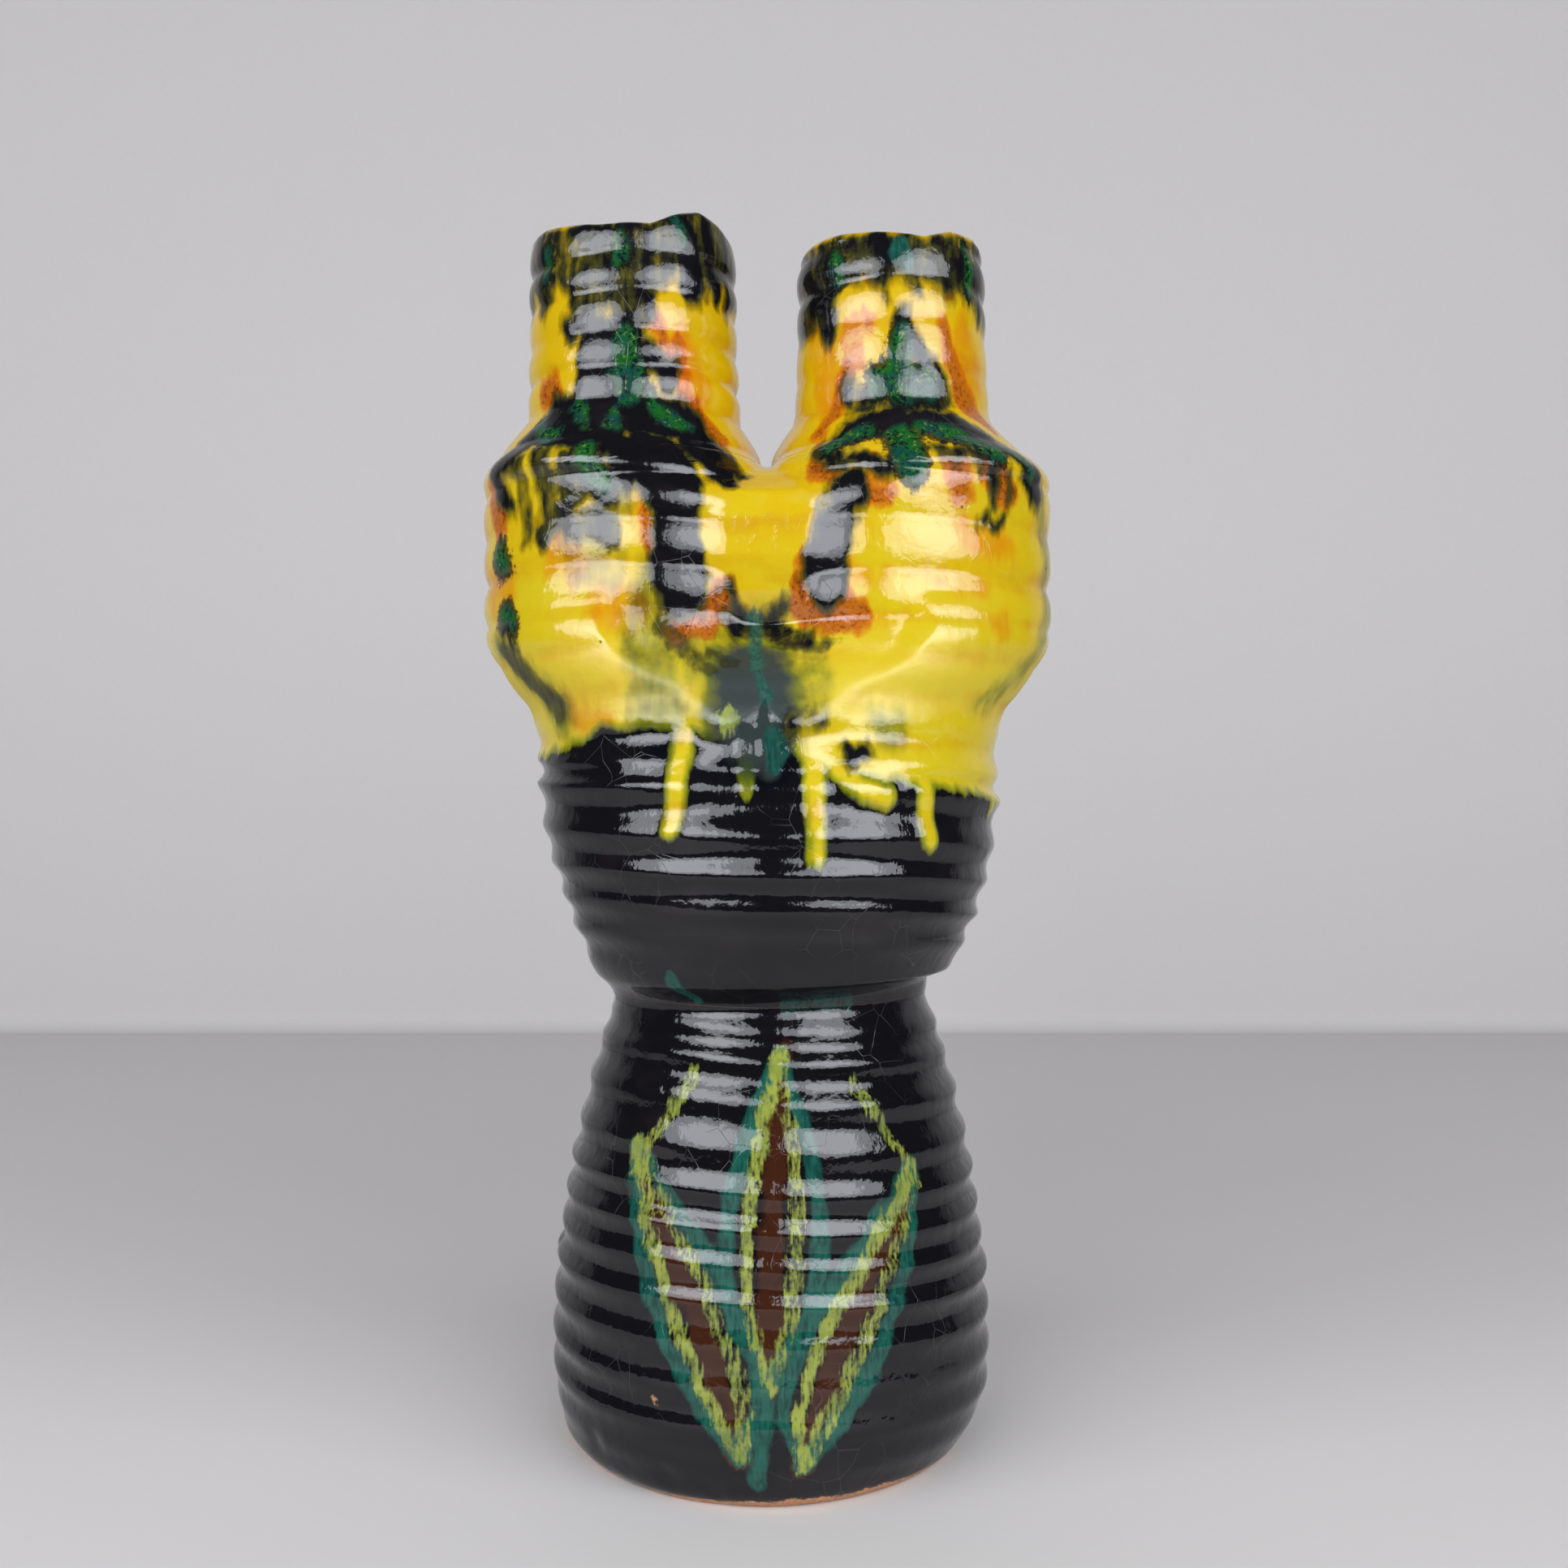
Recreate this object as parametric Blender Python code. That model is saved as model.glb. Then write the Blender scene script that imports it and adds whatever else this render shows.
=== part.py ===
"""Twin-necked ceramic vase, modelled the way it is made.

Six sections are thrown round on the wheel (foot, bowl, two bulbs, two necks), pressed to shape, stacked
and luted together with rings of clay, and a clay web fills the crease between the two bulbs.

Metres, +Z up. The origin is the centre of the underside of the foot, and the front faces -Y.
"""

import math

import bmesh
import bpy

# Joints: the gap left at each touching face, and the clay rings that lute the sections together
JOINT_GAP = 0.0003
LUTE_THICKNESS = 0.0016
LUTE_SQUEEZE = 0.0004

# Foot: a ribbed dome with its floor thrown in one piece
FOOT_HEIGHT = 0.1085
FOOT_BASE_RADIUS = 0.0488
FOOT_BELLY_RADIUS = 0.0547
FOOT_BELLY_HEIGHT = 0.020
WAIST_RADIUS = 0.0394
FOOT_WALL = 0.006
FLOOR_THICKNESS = 0.009
FOOT_RIB_DEPTH = 0.0014

# Bowl: round at the bottom, pressed oval towards the belt, where the bulbs sit
BOWL_HEIGHT = 0.0600
BOWL_BASE_RADIUS = 0.0435
BOWL_EDGE_ROUND = 0.0035
BOWL_SHIFT = 0.0004
BOWL_WALL = 0.0055
BOWL_SWELL_HEIGHT = 0.049
BOWL_OVAL_START = 0.014
BOWL_RIB_DEPTH = 0.0014
BELT_HALF_WIDTH = 0.0576
BELT_SPREAD = 0.010

# Bulbs: each is a belly, egg-shaped across with the narrow end outwards, pressed flat against the other
BULB_HEIGHT = 0.0770
BULB_RADIUS = 0.0364
BULB_PRESS = 0.0014
BULB_SWELL_HEIGHT = 0.0275
BULB_SHOULDER_HEIGHT = 0.0615
BULB_WALL = 0.005
BULB_RIB_DEPTH = 0.0015
BULB_EGG_TOP = 0.0530
BULB_EGG_FADE = 0.0150
BULB_EGG_RATIO = 0.16
BULB_STRETCH_RATIO = 0.05
SEAM_SHIFT = -0.0010

# Web: the clay pressed into the crease between the bulbs, wider at the front and back than over the top
WEB_WIDTH = 0.0112
WEB_TOP_WIDTH = 0.0070
WEB_EDGE = 0.0012
WEB_END_ANGLE = math.radians(28)

# Necks: open ribbed tubes, the left one wider, taller and with a lip that rises on one side
NECK_HEIGHT_LEFT = 0.0430
NECK_HEIGHT_RIGHT = 0.0412
NECK_BASE_RADIUS_LEFT = 0.0266
NECK_BASE_RADIUS_RIGHT = 0.0249
NECK_RIM_RADIUS_LEFT = 0.0258
NECK_RIM_RADIUS_RIGHT = 0.0231
NECK_INSET_LEFT = 0.0011
NECK_INSET_RIGHT = 0.0037
NECK_WALL = 0.0045
NECK_RIB_DEPTH = 0.0014
LIP_RISE_LEFT = 0.0055
LIP_RISE_RIGHT = 0.0025
LIP_BEARING_LEFT = math.radians(-42)
LIP_BEARING_RIGHT = math.radians(-20)

# Throwing ribs: the heights of their crests above the lower edge of each section
FOOT_CRESTS = (0.0255, 0.0340, 0.0410, 0.0490, 0.0565, 0.0645, 0.0730, 0.0820, 0.0905, 0.0985)
BOWL_CRESTS = (0.0153, 0.0233, 0.0323, 0.0423, 0.0503, 0.0583)
BULB_CRESTS_LEFT = (0.0051, 0.0136, 0.0231, 0.0331, 0.0441, 0.0546, 0.0651, 0.0740)
BULB_CRESTS_RIGHT = (0.0051, 0.0131, 0.0216, 0.0306, 0.0391, 0.0471, 0.0561, 0.0656, 0.0740)
NECK_CRESTS_LEFT = (0.0039, 0.0124, 0.0214, 0.0309, 0.0391)
NECK_CRESTS_RIGHT = (0.0049, 0.0149, 0.0254, 0.0349)

# Facets: how finely the round shapes are divided
BODY_SEGMENTS = 40
BULB_SEGMENTS = 36
NECK_SEGMENTS = 28
INNER_ROWS = 8
ROUND_STEPS = 3
WEB_STATIONS = 25
WEB_FLANK_STEPS = 3
SHARP_ANGLE = math.radians(50)
MERGE_DISTANCE = 0.00001
# Halvings that find where the web starts and ends, and the widest turn of a bulb that bounds the crease
SEARCH_STEPS = 40
WIDEST_TURN = math.radians(80)

# Finishes: glazed clay in two colours, and the bare clay of the joints
BLACK_GLAZE = (0.012, 0.010, 0.016)
YELLOW_GLAZE = (0.85, 0.58, 0.03)
BARE_CLAY = (0.42, 0.19, 0.09)
GLAZE_ROUGHNESS = 0.12
CLAY_ROUGHNESS = 0.75

# Levels at which the stacked sections start, from the ground up
WAIST_RING_LEVEL = FOOT_HEIGHT + JOINT_GAP
BOWL_LEVEL = WAIST_RING_LEVEL + LUTE_THICKNESS + JOINT_GAP
BELT_RING_LEVEL = BOWL_LEVEL + BOWL_HEIGHT + JOINT_GAP
BULB_LEVEL = BELT_RING_LEVEL + LUTE_THICKNESS + JOINT_GAP
NECK_RING_LEVEL = BULB_LEVEL + BULB_HEIGHT + JOINT_GAP
NECK_LEVEL = NECK_RING_LEVEL + LUTE_THICKNESS + JOINT_GAP

# The lobes of the pressed outline at the belt, and the bulbs' own axes from the seam
BELT_LOBE_RADIUS = BELT_HALF_WIDTH - BELT_SPREAD
BULB_AXIS = BULB_RADIUS - BULB_PRESS
# How softly the two lobes of the belt meet at the front and back
LOBE_SOFTNESS = 0.25
# The share of a bulb's turn, either side of the seam, that is kept for its flat, and the least it spans
FLAT_TURN = math.radians(50)
LEAST_FLAT_TURN = math.radians(22)
# How far round a bulb its ribs are smoothed away from the seam: 0 is a quarter turn, 1 the whole
SMOOTHED_SIDE = 0.5

LEFT = -1
RIGHT = 1


def ease(start, end, share):
    """A smooth step from start to end as share goes from 0 to 1."""
    share = min(max(share, 0.0), 1.0)
    return start + (end - start) * share * share * (3.0 - 2.0 * share)


def steps(count):
    """count + 1 shares from 0 to 1."""
    return [index / count for index in range(count + 1)]


def ribbed(curve, bottom, top, crests, depth):
    """Points (radius, height) up a ribbed wall: out at each crest, and in at the valleys between them."""
    points = [(curve(bottom), bottom)]
    crests = [crest for crest in crests if bottom < crest < top]
    for index, crest in enumerate(crests):
        if index > 0:
            valley = (crests[index - 1] + crest) / 2
            points.append((curve(valley) - depth / 2, valley))
        points.append((curve(crest) + depth / 2, crest))
    points.append((curve(top), top))
    return points


def inside(curve, wall, bottom, top):
    """Points down the smooth inner face of a wall of this thickness, from top to bottom."""
    points = []
    for share in steps(INNER_ROWS):
        height = top + (bottom - top) * share
        points.append((curve(height) - wall, height))
    return points


def throw(profile, segments, open_ends=False):
    """Turns a profile of (radius, height) points about Z. A closed one makes a wall, an open one a pot."""
    mesh = bmesh.new()
    corners = [mesh.verts.new((radius, 0.0, height)) for radius, height in profile]
    edges = [mesh.edges.new(pair) for pair in zip(corners, corners[1:])]
    if not open_ends:
        edges.append(mesh.edges.new((corners[-1], corners[0])))
    bmesh.ops.spin(
        mesh,
        geom=corners + edges,
        cent=(0.0, 0.0, 0.0),
        axis=(0.0, 0.0, 1.0),
        angle=2.0 * math.pi,
        steps=segments,
        use_merge=True,
    )
    bmesh.ops.remove_doubles(mesh, verts=mesh.verts, dist=MERGE_DISTANCE)
    return mesh


def press(mesh, shape):
    """Moves every vertex of a thrown form to where shape puts it."""
    for vertex in mesh.verts:
        vertex.co = shape(*vertex.co)


def finish(name, mesh, colour, roughness):
    """Makes the named object of a finished mesh, with a material of its own."""
    bmesh.ops.recalc_face_normals(mesh, faces=mesh.faces)
    data = bpy.data.meshes.new(name)
    mesh.to_mesh(data)
    mesh.free()
    data.shade_smooth()
    data.set_sharp_from_angle(angle=SHARP_ANGLE)
    material = bpy.data.materials.new(name)
    material.use_nodes = True
    shader = material.node_tree.nodes["Principled BSDF"]
    shader.inputs["Base Color"].default_value = (*colour, 1.0)
    shader.inputs["Roughness"].default_value = roughness
    shader.inputs["Metallic"].default_value = 0.0
    data.materials.append(material)
    piece = bpy.data.objects.new(name, data)
    bpy.context.scene.collection.objects.link(piece)
    return piece


def foot_radius(height):
    """The foot's outer wall: a rounded edge up to the belly, then a parabola in to the waist."""
    if height < FOOT_BELLY_HEIGHT:
        below = 1.0 - height / FOOT_BELLY_HEIGHT
        swell = math.sqrt(1.0 - below * below)
        return FOOT_BASE_RADIUS + (FOOT_BELLY_RADIUS - FOOT_BASE_RADIUS) * swell
    above = (height - FOOT_BELLY_HEIGHT) / (FOOT_HEIGHT - FOOT_BELLY_HEIGHT)
    return FOOT_BELLY_RADIUS - (FOOT_BELLY_RADIUS - WAIST_RADIUS) * above * above


def bowl_radius(height):
    """The bowl's half width at a height above its lower edge."""
    share = min(height / BOWL_SWELL_HEIGHT, 1.0)
    return BOWL_BASE_RADIUS + (BELT_HALF_WIDTH - BOWL_BASE_RADIUS) * math.sin(share * math.pi / 2)


def lobed(bearing, half_width, spread):
    """The radius, at this bearing, of an outline pressed into two lobes that are spread apart."""
    lobe = half_width - spread
    across = math.hypot(math.cos(bearing), LOBE_SOFTNESS) - LOBE_SOFTNESS
    across /= math.hypot(1.0, LOBE_SOFTNESS) - LOBE_SOFTNESS
    return spread * across + math.sqrt(lobe**2 - (spread * math.sin(bearing)) ** 2)


def press_oval(x, y, z, spread):
    """Presses a round point into the two-lobed outline, keeping its distance inside that outline."""
    bearing = math.atan2(y, x)
    radius = math.hypot(x, y)
    pressed = radius - BELT_HALF_WIDTH + lobed(bearing, BELT_HALF_WIDTH, spread)
    return pressed * math.cos(bearing), pressed * math.sin(bearing), z


def bulb_radius(height, neck_radius):
    """A bulb's own radius at a height above the belt: from the belt's lobe to the belly to the neck."""
    if height < BULB_SWELL_HEIGHT:
        return ease(BELT_LOBE_RADIUS, BULB_RADIUS, height / BULB_SWELL_HEIGHT)
    rise = (height - BULB_SHOULDER_HEIGHT) / (BULB_HEIGHT - BULB_SHOULDER_HEIGHT)
    return ease(BULB_RADIUS, neck_radius, rise)


def bulb_axis(height, inset):
    """How far a bulb's axis stands from the seam at a height above the belt."""
    if height < BULB_SWELL_HEIGHT:
        return ease(BELT_SPREAD, BULB_AXIS, height / BULB_SWELL_HEIGHT)
    rise = (height - BULB_SHOULDER_HEIGHT) / (BULB_HEIGHT - BULB_SHOULDER_HEIGHT)
    return ease(BULB_AXIS, BULB_AXIS - inset, rise)


def bulb_egg(height):
    """How egg-shaped a bulb is across at a height above the belt: 0 is round, 1 the full shape."""
    rise = ease(0.0, 1.0, height / BULB_SWELL_HEIGHT)
    return rise * ease(1.0, 0.0, (height - BULB_EGG_TOP) / BULB_EGG_FADE)


def egg_point(turn, radius, axis, egg):
    """A point of a bulb's outline at a turn from the seam: its distance from the seam, and its depth."""
    outward = -math.cos(turn)
    reach = axis + radius * (outward + BULB_STRETCH_RATIO * egg * (outward - 1.0))
    depth = radius * math.sin(turn) * (1.0 - BULB_EGG_RATIO * egg * outward)
    return reach, depth


def spaced(turn, corner):
    """Spaces a bulb's vertices so that those at FLAT_TURN from the seam land on the corner of the flat."""
    if turn <= FLAT_TURN:
        return turn * corner / FLAT_TURN
    return corner + (turn - FLAT_TURN) * (math.pi - corner) / (math.pi - FLAT_TURN)


def crease_half_width(y, height, neck_radius, inset):
    """The clear way from the seam to one bulb's wall, at a depth y and a height above the belt."""
    outline = bulb_radius(height, neck_radius), bulb_axis(height, inset), bulb_egg(height)
    near, far = 0.0, WIDEST_TURN
    if abs(y) >= egg_point(far, *outline)[1]:
        return BULB_AXIS
    for _ in range(SEARCH_STEPS):
        half = (near + far) / 2
        if egg_point(half, *outline)[1] < abs(y):
            near = half
        else:
            far = half
    return egg_point(near, *outline)[0] - JOINT_GAP


def make_foot():
    """The foot with its floor: one open profile from the middle of the underside to that of the floor."""
    wall = ribbed(foot_radius, FOOT_BELLY_HEIGHT, FOOT_HEIGHT, FOOT_CRESTS, FOOT_RIB_DEPTH)
    levels = [FOOT_BELLY_HEIGHT * share for share in steps(ROUND_STEPS + 1)]
    edge = [(foot_radius(level), level) for level in levels]
    hollow = inside(foot_radius, FOOT_WALL, FLOOR_THICKNESS, FOOT_HEIGHT)
    profile = [(0.0, 0.0)] + edge[:-1] + wall + hollow + [(0.0, FLOOR_THICKNESS)]
    mesh = throw(profile, BODY_SEGMENTS, open_ends=True)
    return finish("foot", mesh, BLACK_GLAZE, GLAZE_ROUGHNESS)


def make_waist_ring():
    """The clay ring that lutes the bowl onto the foot."""
    outer = WAIST_RADIUS + LUTE_SQUEEZE
    inner = WAIST_RADIUS - FOOT_WALL
    top = WAIST_RING_LEVEL + LUTE_THICKNESS
    profile = [(outer, WAIST_RING_LEVEL), (outer, top), (inner, top), (inner, WAIST_RING_LEVEL)]
    mesh = throw(profile, BODY_SEGMENTS)
    return finish("waist_luting_ring", mesh, BARE_CLAY, CLAY_ROUGHNESS)


def make_bowl():
    """The bowl: thrown round, its rim pressed oval, set a little off the foot's axis."""
    edge = []
    for share in steps(ROUND_STEPS):
        turn = share * math.pi / 2
        radius = BOWL_BASE_RADIUS - BOWL_EDGE_ROUND * (1.0 - math.sin(turn))
        edge.append((radius, BOWL_EDGE_ROUND * (1.0 - math.cos(turn))))
    wall = ribbed(bowl_radius, BOWL_EDGE_ROUND, BOWL_HEIGHT, BOWL_CRESTS, BOWL_RIB_DEPTH)
    hollow = inside(bowl_radius, BOWL_WALL, 0.0, BOWL_HEIGHT)
    hollow[-1] = (WAIST_RADIUS - FOOT_WALL, 0.0)
    mesh = throw(edge[:-1] + wall + hollow, BODY_SEGMENTS)

    def shape(x, y, z):
        share = (z - BOWL_OVAL_START) / (BOWL_HEIGHT - BOWL_OVAL_START)
        x, y, z = press_oval(x, y, z, ease(0.0, BELT_SPREAD, share))
        return x + ease(BOWL_SHIFT, SEAM_SHIFT, share), y, z + BOWL_LEVEL

    press(mesh, shape)
    return finish("bowl", mesh, BLACK_GLAZE, GLAZE_ROUGHNESS)


def make_belt_ring():
    """The oval clay ring that lutes both bulbs onto the bowl."""
    outer = BELT_HALF_WIDTH
    inner = BELT_HALF_WIDTH - BOWL_WALL
    profile = [(outer, 0.0), (outer, LUTE_THICKNESS), (inner, LUTE_THICKNESS), (inner, 0.0)]
    mesh = throw(profile, BODY_SEGMENTS)

    def shape(x, y, z):
        x, y, z = press_oval(x, y, z, BELT_SPREAD)
        return x + SEAM_SHIFT, y, z + BELT_RING_LEVEL

    press(mesh, shape)
    return finish("belt_luting_ring", mesh, BARE_CLAY, CLAY_ROUGHNESS)


def make_bulb(name, side, neck_radius, inset, crests):
    """One bulb: thrown round, leant out to its side, and pressed flat where it meets the other."""

    def curve(height):
        return bulb_radius(height, neck_radius)

    wall = ribbed(curve, 0.0, BULB_HEIGHT, crests, BULB_RIB_DEPTH)
    hollow = inside(curve, BULB_WALL, 0.0, BULB_HEIGHT)
    mesh = throw(wall + hollow, BULB_SEGMENTS)

    def shape(x, y, z):
        outside = math.hypot(x, y) > curve(z) - BULB_WALL / 2
        layer = 0.0 if outside else BULB_WALL
        flat = JOINT_GAP / 2 + layer
        plain = curve(z) - layer
        axis = bulb_axis(z, inset)
        egg = bulb_egg(z)
        # Turns are counted from the seam, and the flat's corners are met by a vertex on each row
        turn = math.atan2(y, -side * x)
        stretch = BULB_STRETCH_RATIO * egg
        corner = math.acos(min(((axis - flat) / plain - stretch) / (1.0 + stretch), 1.0))
        turn = math.copysign(spaced(abs(turn), max(corner, LEAST_FLAT_TURN)), turn)
        radius = ease(math.hypot(x, y), plain, math.cos(turn) + SMOOTHED_SIDE)
        reach, depth = egg_point(turn, radius, axis, egg)
        return SEAM_SHIFT + side * max(reach, flat), depth, z + BULB_LEVEL

    press(mesh, shape)
    return finish(name, mesh, YELLOW_GLAZE, GLAZE_ROUGHNESS)


def make_web():
    """The clay web in the crease: an arch about the flat where the bulbs meet, wedge-shaped across."""
    middle = (BULB_SWELL_HEIGHT + BULB_SHOULDER_HEIGHT) / 2
    sides = (
        (LEFT, NECK_BASE_RADIUS_LEFT, NECK_INSET_LEFT),
        (RIGHT, NECK_BASE_RADIUS_RIGHT, NECK_INSET_RIGHT),
    )

    def half_width(turn, distance, neck_radius, inset):
        height = middle + distance * math.sin(turn)
        return crease_half_width(distance * math.cos(turn), height, neck_radius, inset)

    def narrowest(turn, distance):
        return min(half_width(turn, distance, radius, inset) for _, radius, inset in sides)

    def distance_at(turn, width):
        near, far = 0.0, 2.0 * BULB_RADIUS
        if math.sin(turn) > 0.0:
            far = min(far, (BULB_HEIGHT - middle) / math.sin(turn))
        for _ in range(SEARCH_STEPS):
            half = (near + far) / 2
            if narrowest(turn, half) < width:
                near = half
            else:
                far = half
        return near

    mesh = bmesh.new()
    rings = []
    for share in steps(WEB_STATIONS - 1):
        turn = -WEB_END_ANGLE + share * (math.pi + 2.0 * WEB_END_ANGLE)
        width = WEB_TOP_WIDTH + (WEB_WIDTH - WEB_TOP_WIDTH) * math.cos(turn) ** 2
        tip = distance_at(turn, WEB_EDGE / 2)
        face = distance_at(turn, width / 2)
        flank = [tip + (face - tip) * part for part in steps(WEB_FLANK_STEPS)]
        ring = []
        for side, neck_radius, inset in sides:
            for distance in flank if side == LEFT else reversed(flank):
                x = SEAM_SHIFT + side * half_width(turn, distance, neck_radius, inset)
                y = -distance * math.cos(turn)
                z = BULB_LEVEL + middle + distance * math.sin(turn)
                ring.append(mesh.verts.new((x, y, z)))
        rings.append(ring)
    for ring, following in zip(rings, rings[1:]):
        for index in range(len(ring)):
            mesh.faces.new((ring[index - 1], ring[index], following[index], following[index - 1]))
    for end in (rings[0], rings[-1]):
        mesh.faces.new(end)
    return finish("saddle_web", mesh, YELLOW_GLAZE, GLAZE_ROUGHNESS)


def neck_x(side, inset):
    """Where a neck's axis stands."""
    return SEAM_SHIFT + side * (BULB_AXIS - inset)


def make_neck_ring(name, side, radius, inset):
    """The clay ring that lutes a neck onto its bulb."""
    outer = radius
    inner = radius - NECK_WALL
    profile = [(outer, 0.0), (outer, LUTE_THICKNESS), (inner, LUTE_THICKNESS), (inner, 0.0)]
    mesh = throw(profile, NECK_SEGMENTS)
    press(mesh, lambda x, y, z: (x + neck_x(side, inset), y, z + NECK_RING_LEVEL))
    return finish(name, mesh, BARE_CLAY, CLAY_ROUGHNESS)


def make_neck(name, side, base_radius, rim_radius, inset, height, rise, bearing, crests):
    """One neck: a ribbed tube with a rounded lip that rises towards one bearing."""
    lip = NECK_WALL / 2
    straight = height - lip

    def curve(level):
        return base_radius + (rim_radius - base_radius) * level / height

    wall = ribbed(curve, 0.0, straight, crests, NECK_RIB_DEPTH)
    rim = []
    for share in steps(2 * ROUND_STEPS)[1:-1]:
        turn = share * math.pi
        rim.append((curve(straight) - lip + lip * math.cos(turn), straight + lip * math.sin(turn)))
    hollow = inside(curve, NECK_WALL, 0.0, straight)
    mesh = throw(wall + rim + hollow, NECK_SEGMENTS)

    def shape(x, y, z):
        toward = math.cos(math.atan2(y, x) - bearing)
        lift = rise * ease(0.0, 1.0, toward) * ease(0.0, 1.0, z / height)
        return x + neck_x(side, inset), y, z + lift + NECK_LEVEL

    press(mesh, shape)
    return finish(name, mesh, YELLOW_GLAZE, GLAZE_ROUGHNESS)


def make_vase():
    """Every piece, from the ground up, under one empty."""
    stand = bpy.data.objects.new("vase", None)
    bpy.context.scene.collection.objects.link(stand)
    pieces = [
        make_foot(),
        make_waist_ring(),
        make_bowl(),
        make_belt_ring(),
        make_bulb("bulb_left", LEFT, NECK_BASE_RADIUS_LEFT, NECK_INSET_LEFT, BULB_CRESTS_LEFT),
        make_bulb("bulb_right", RIGHT, NECK_BASE_RADIUS_RIGHT, NECK_INSET_RIGHT, BULB_CRESTS_RIGHT),
        make_web(),
        make_neck_ring("neck_luting_ring_left", LEFT, NECK_BASE_RADIUS_LEFT, NECK_INSET_LEFT),
        make_neck_ring("neck_luting_ring_right", RIGHT, NECK_BASE_RADIUS_RIGHT, NECK_INSET_RIGHT),
        make_neck(
            "neck_left",
            LEFT,
            NECK_BASE_RADIUS_LEFT,
            NECK_RIM_RADIUS_LEFT,
            NECK_INSET_LEFT,
            NECK_HEIGHT_LEFT,
            LIP_RISE_LEFT,
            LIP_BEARING_LEFT,
            NECK_CRESTS_LEFT,
        ),
        make_neck(
            "neck_right",
            RIGHT,
            NECK_BASE_RADIUS_RIGHT,
            NECK_RIM_RADIUS_RIGHT,
            NECK_INSET_RIGHT,
            NECK_HEIGHT_RIGHT,
            LIP_RISE_RIGHT,
            LIP_BEARING_RIGHT,
            NECK_CRESTS_RIGHT,
        ),
    ]
    for piece in pieces:
        piece.parent = stand


for item in list(bpy.data.objects):
    bpy.data.objects.remove(item, do_unlink=True)
make_vase()
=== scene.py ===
"""Dresses a twin-necked vase: a skin with throwing ribs over its clay sections, running glazes on it, and
a small stage with lamps and a camera.

Lengths in the shape functions are millimetres, in the frame of the clay sections: +Z up, front towards -Y.
A turn is an angle in degrees round an upright axis, 0 at the front and growing towards the right.
"""

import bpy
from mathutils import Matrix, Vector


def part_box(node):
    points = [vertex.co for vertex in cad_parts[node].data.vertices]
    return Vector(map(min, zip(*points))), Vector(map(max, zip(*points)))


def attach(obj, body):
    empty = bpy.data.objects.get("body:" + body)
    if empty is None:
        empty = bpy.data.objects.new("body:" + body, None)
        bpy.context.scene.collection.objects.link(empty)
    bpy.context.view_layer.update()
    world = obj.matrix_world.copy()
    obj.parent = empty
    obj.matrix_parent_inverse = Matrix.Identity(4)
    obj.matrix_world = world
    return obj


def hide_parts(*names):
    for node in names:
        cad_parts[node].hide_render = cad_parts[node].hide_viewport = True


bl_info = {
    "name": "Twin-Necked Glazed Vase",
    "version": (1, 0, 0),
    "blender": (4, 5, 0),
    "location": "View3D > Sidebar > Vase",
    "description": "Builds the ribbed and glazed skin of a twin-necked vase over its clay sections",
    "category": "Object",
}

import math
from collections import namedtuple
from functools import partial

import bpy
import numpy as np
from bpy.props import FloatProperty, FloatVectorProperty, IntProperty, PointerProperty
from mathutils import Vector

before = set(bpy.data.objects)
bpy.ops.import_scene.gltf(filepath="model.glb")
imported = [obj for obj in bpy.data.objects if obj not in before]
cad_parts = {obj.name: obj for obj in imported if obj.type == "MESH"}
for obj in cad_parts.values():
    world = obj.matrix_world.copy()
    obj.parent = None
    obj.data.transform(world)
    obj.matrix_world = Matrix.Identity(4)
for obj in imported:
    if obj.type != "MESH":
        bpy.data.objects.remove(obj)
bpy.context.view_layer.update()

MM = 0.001
LEFT = -1
RIGHT = 1


def clay_box(node):
    """Lowest and highest corner of a clay section, in millimetres."""
    low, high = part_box(node)
    return np.array(low) / MM, np.array(high) / MM


def between(lower_node, upper_node):
    """The level halfway between the top of one section and the bottom of the next."""
    return (clay_box(lower_node)[1][2] + clay_box(upper_node)[0][2]) / 2


# Levels where one section ends and the next begins
FOOT_TOP = clay_box("foot")[1][2]
BOWL_BOTTOM = clay_box("bowl")[0][2]
WAIST_LEVEL = between("foot", "bowl")
BELT_LEVEL = between("bowl", "bulb_left")
COLLAR_LEVEL = between("bulb_left", "neck_left")

# Foot and waist: a rounded lower edge, a belly, and a parabola in to the waist
FOOT_BASE_RADIUS = 48.8
FOOT_BELLY_RADIUS = 54.7
FOOT_BELLY_LEVEL = 20.0
FOOT_TUCK = 2.2
FOOT_TUCK_LEVEL = 15.0
WAIST_RADIUS = 39.4

# Bowl: its lower edge is a ledge on the right and a slant on the left
BOWL_BASE_RADIUS = 43.5
BELT_HALF_WIDTH = 57.6
BOWL_SWELL = 49.0
BOWL_OVAL_LEVEL = BOWL_BOTTOM + 14.0
BOWL_SHIFT = 0.4
LEDGE_LEVEL = 112.2
LEDGE_TILT = 1.9
LEDGE_HEIGHT = 5.0
LEDGE_HEIGHT_TILT = 2.4

# Bulbs: two lobes that lean apart above the belt, egg-shaped across, with the narrow end outwards
SEAM = -1.0
BELT_SPREAD = 10.0
BULB_RADIUS = 36.2
BULB_SPREAD = 35.0
BULB_SWELL = 27.5
SHOULDER_LEVEL = 234.4
SHOULDER_RISE = 4.0
EGG_WIDTH = 0.05
EGG_SHARE = 0.16
EGG_TOP_LEVEL = 226.0
EGG_FADE = 15.0

# Cheeks: low on their outer sides the bulbs swell forward over a hollow above the belt
CHEEK_DEPTH = 2.8
CHEEK_LEVELS = (164.0, 206.0)
CHEEK_START = 0.03
CHEEK_FADE = 0.22

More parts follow.
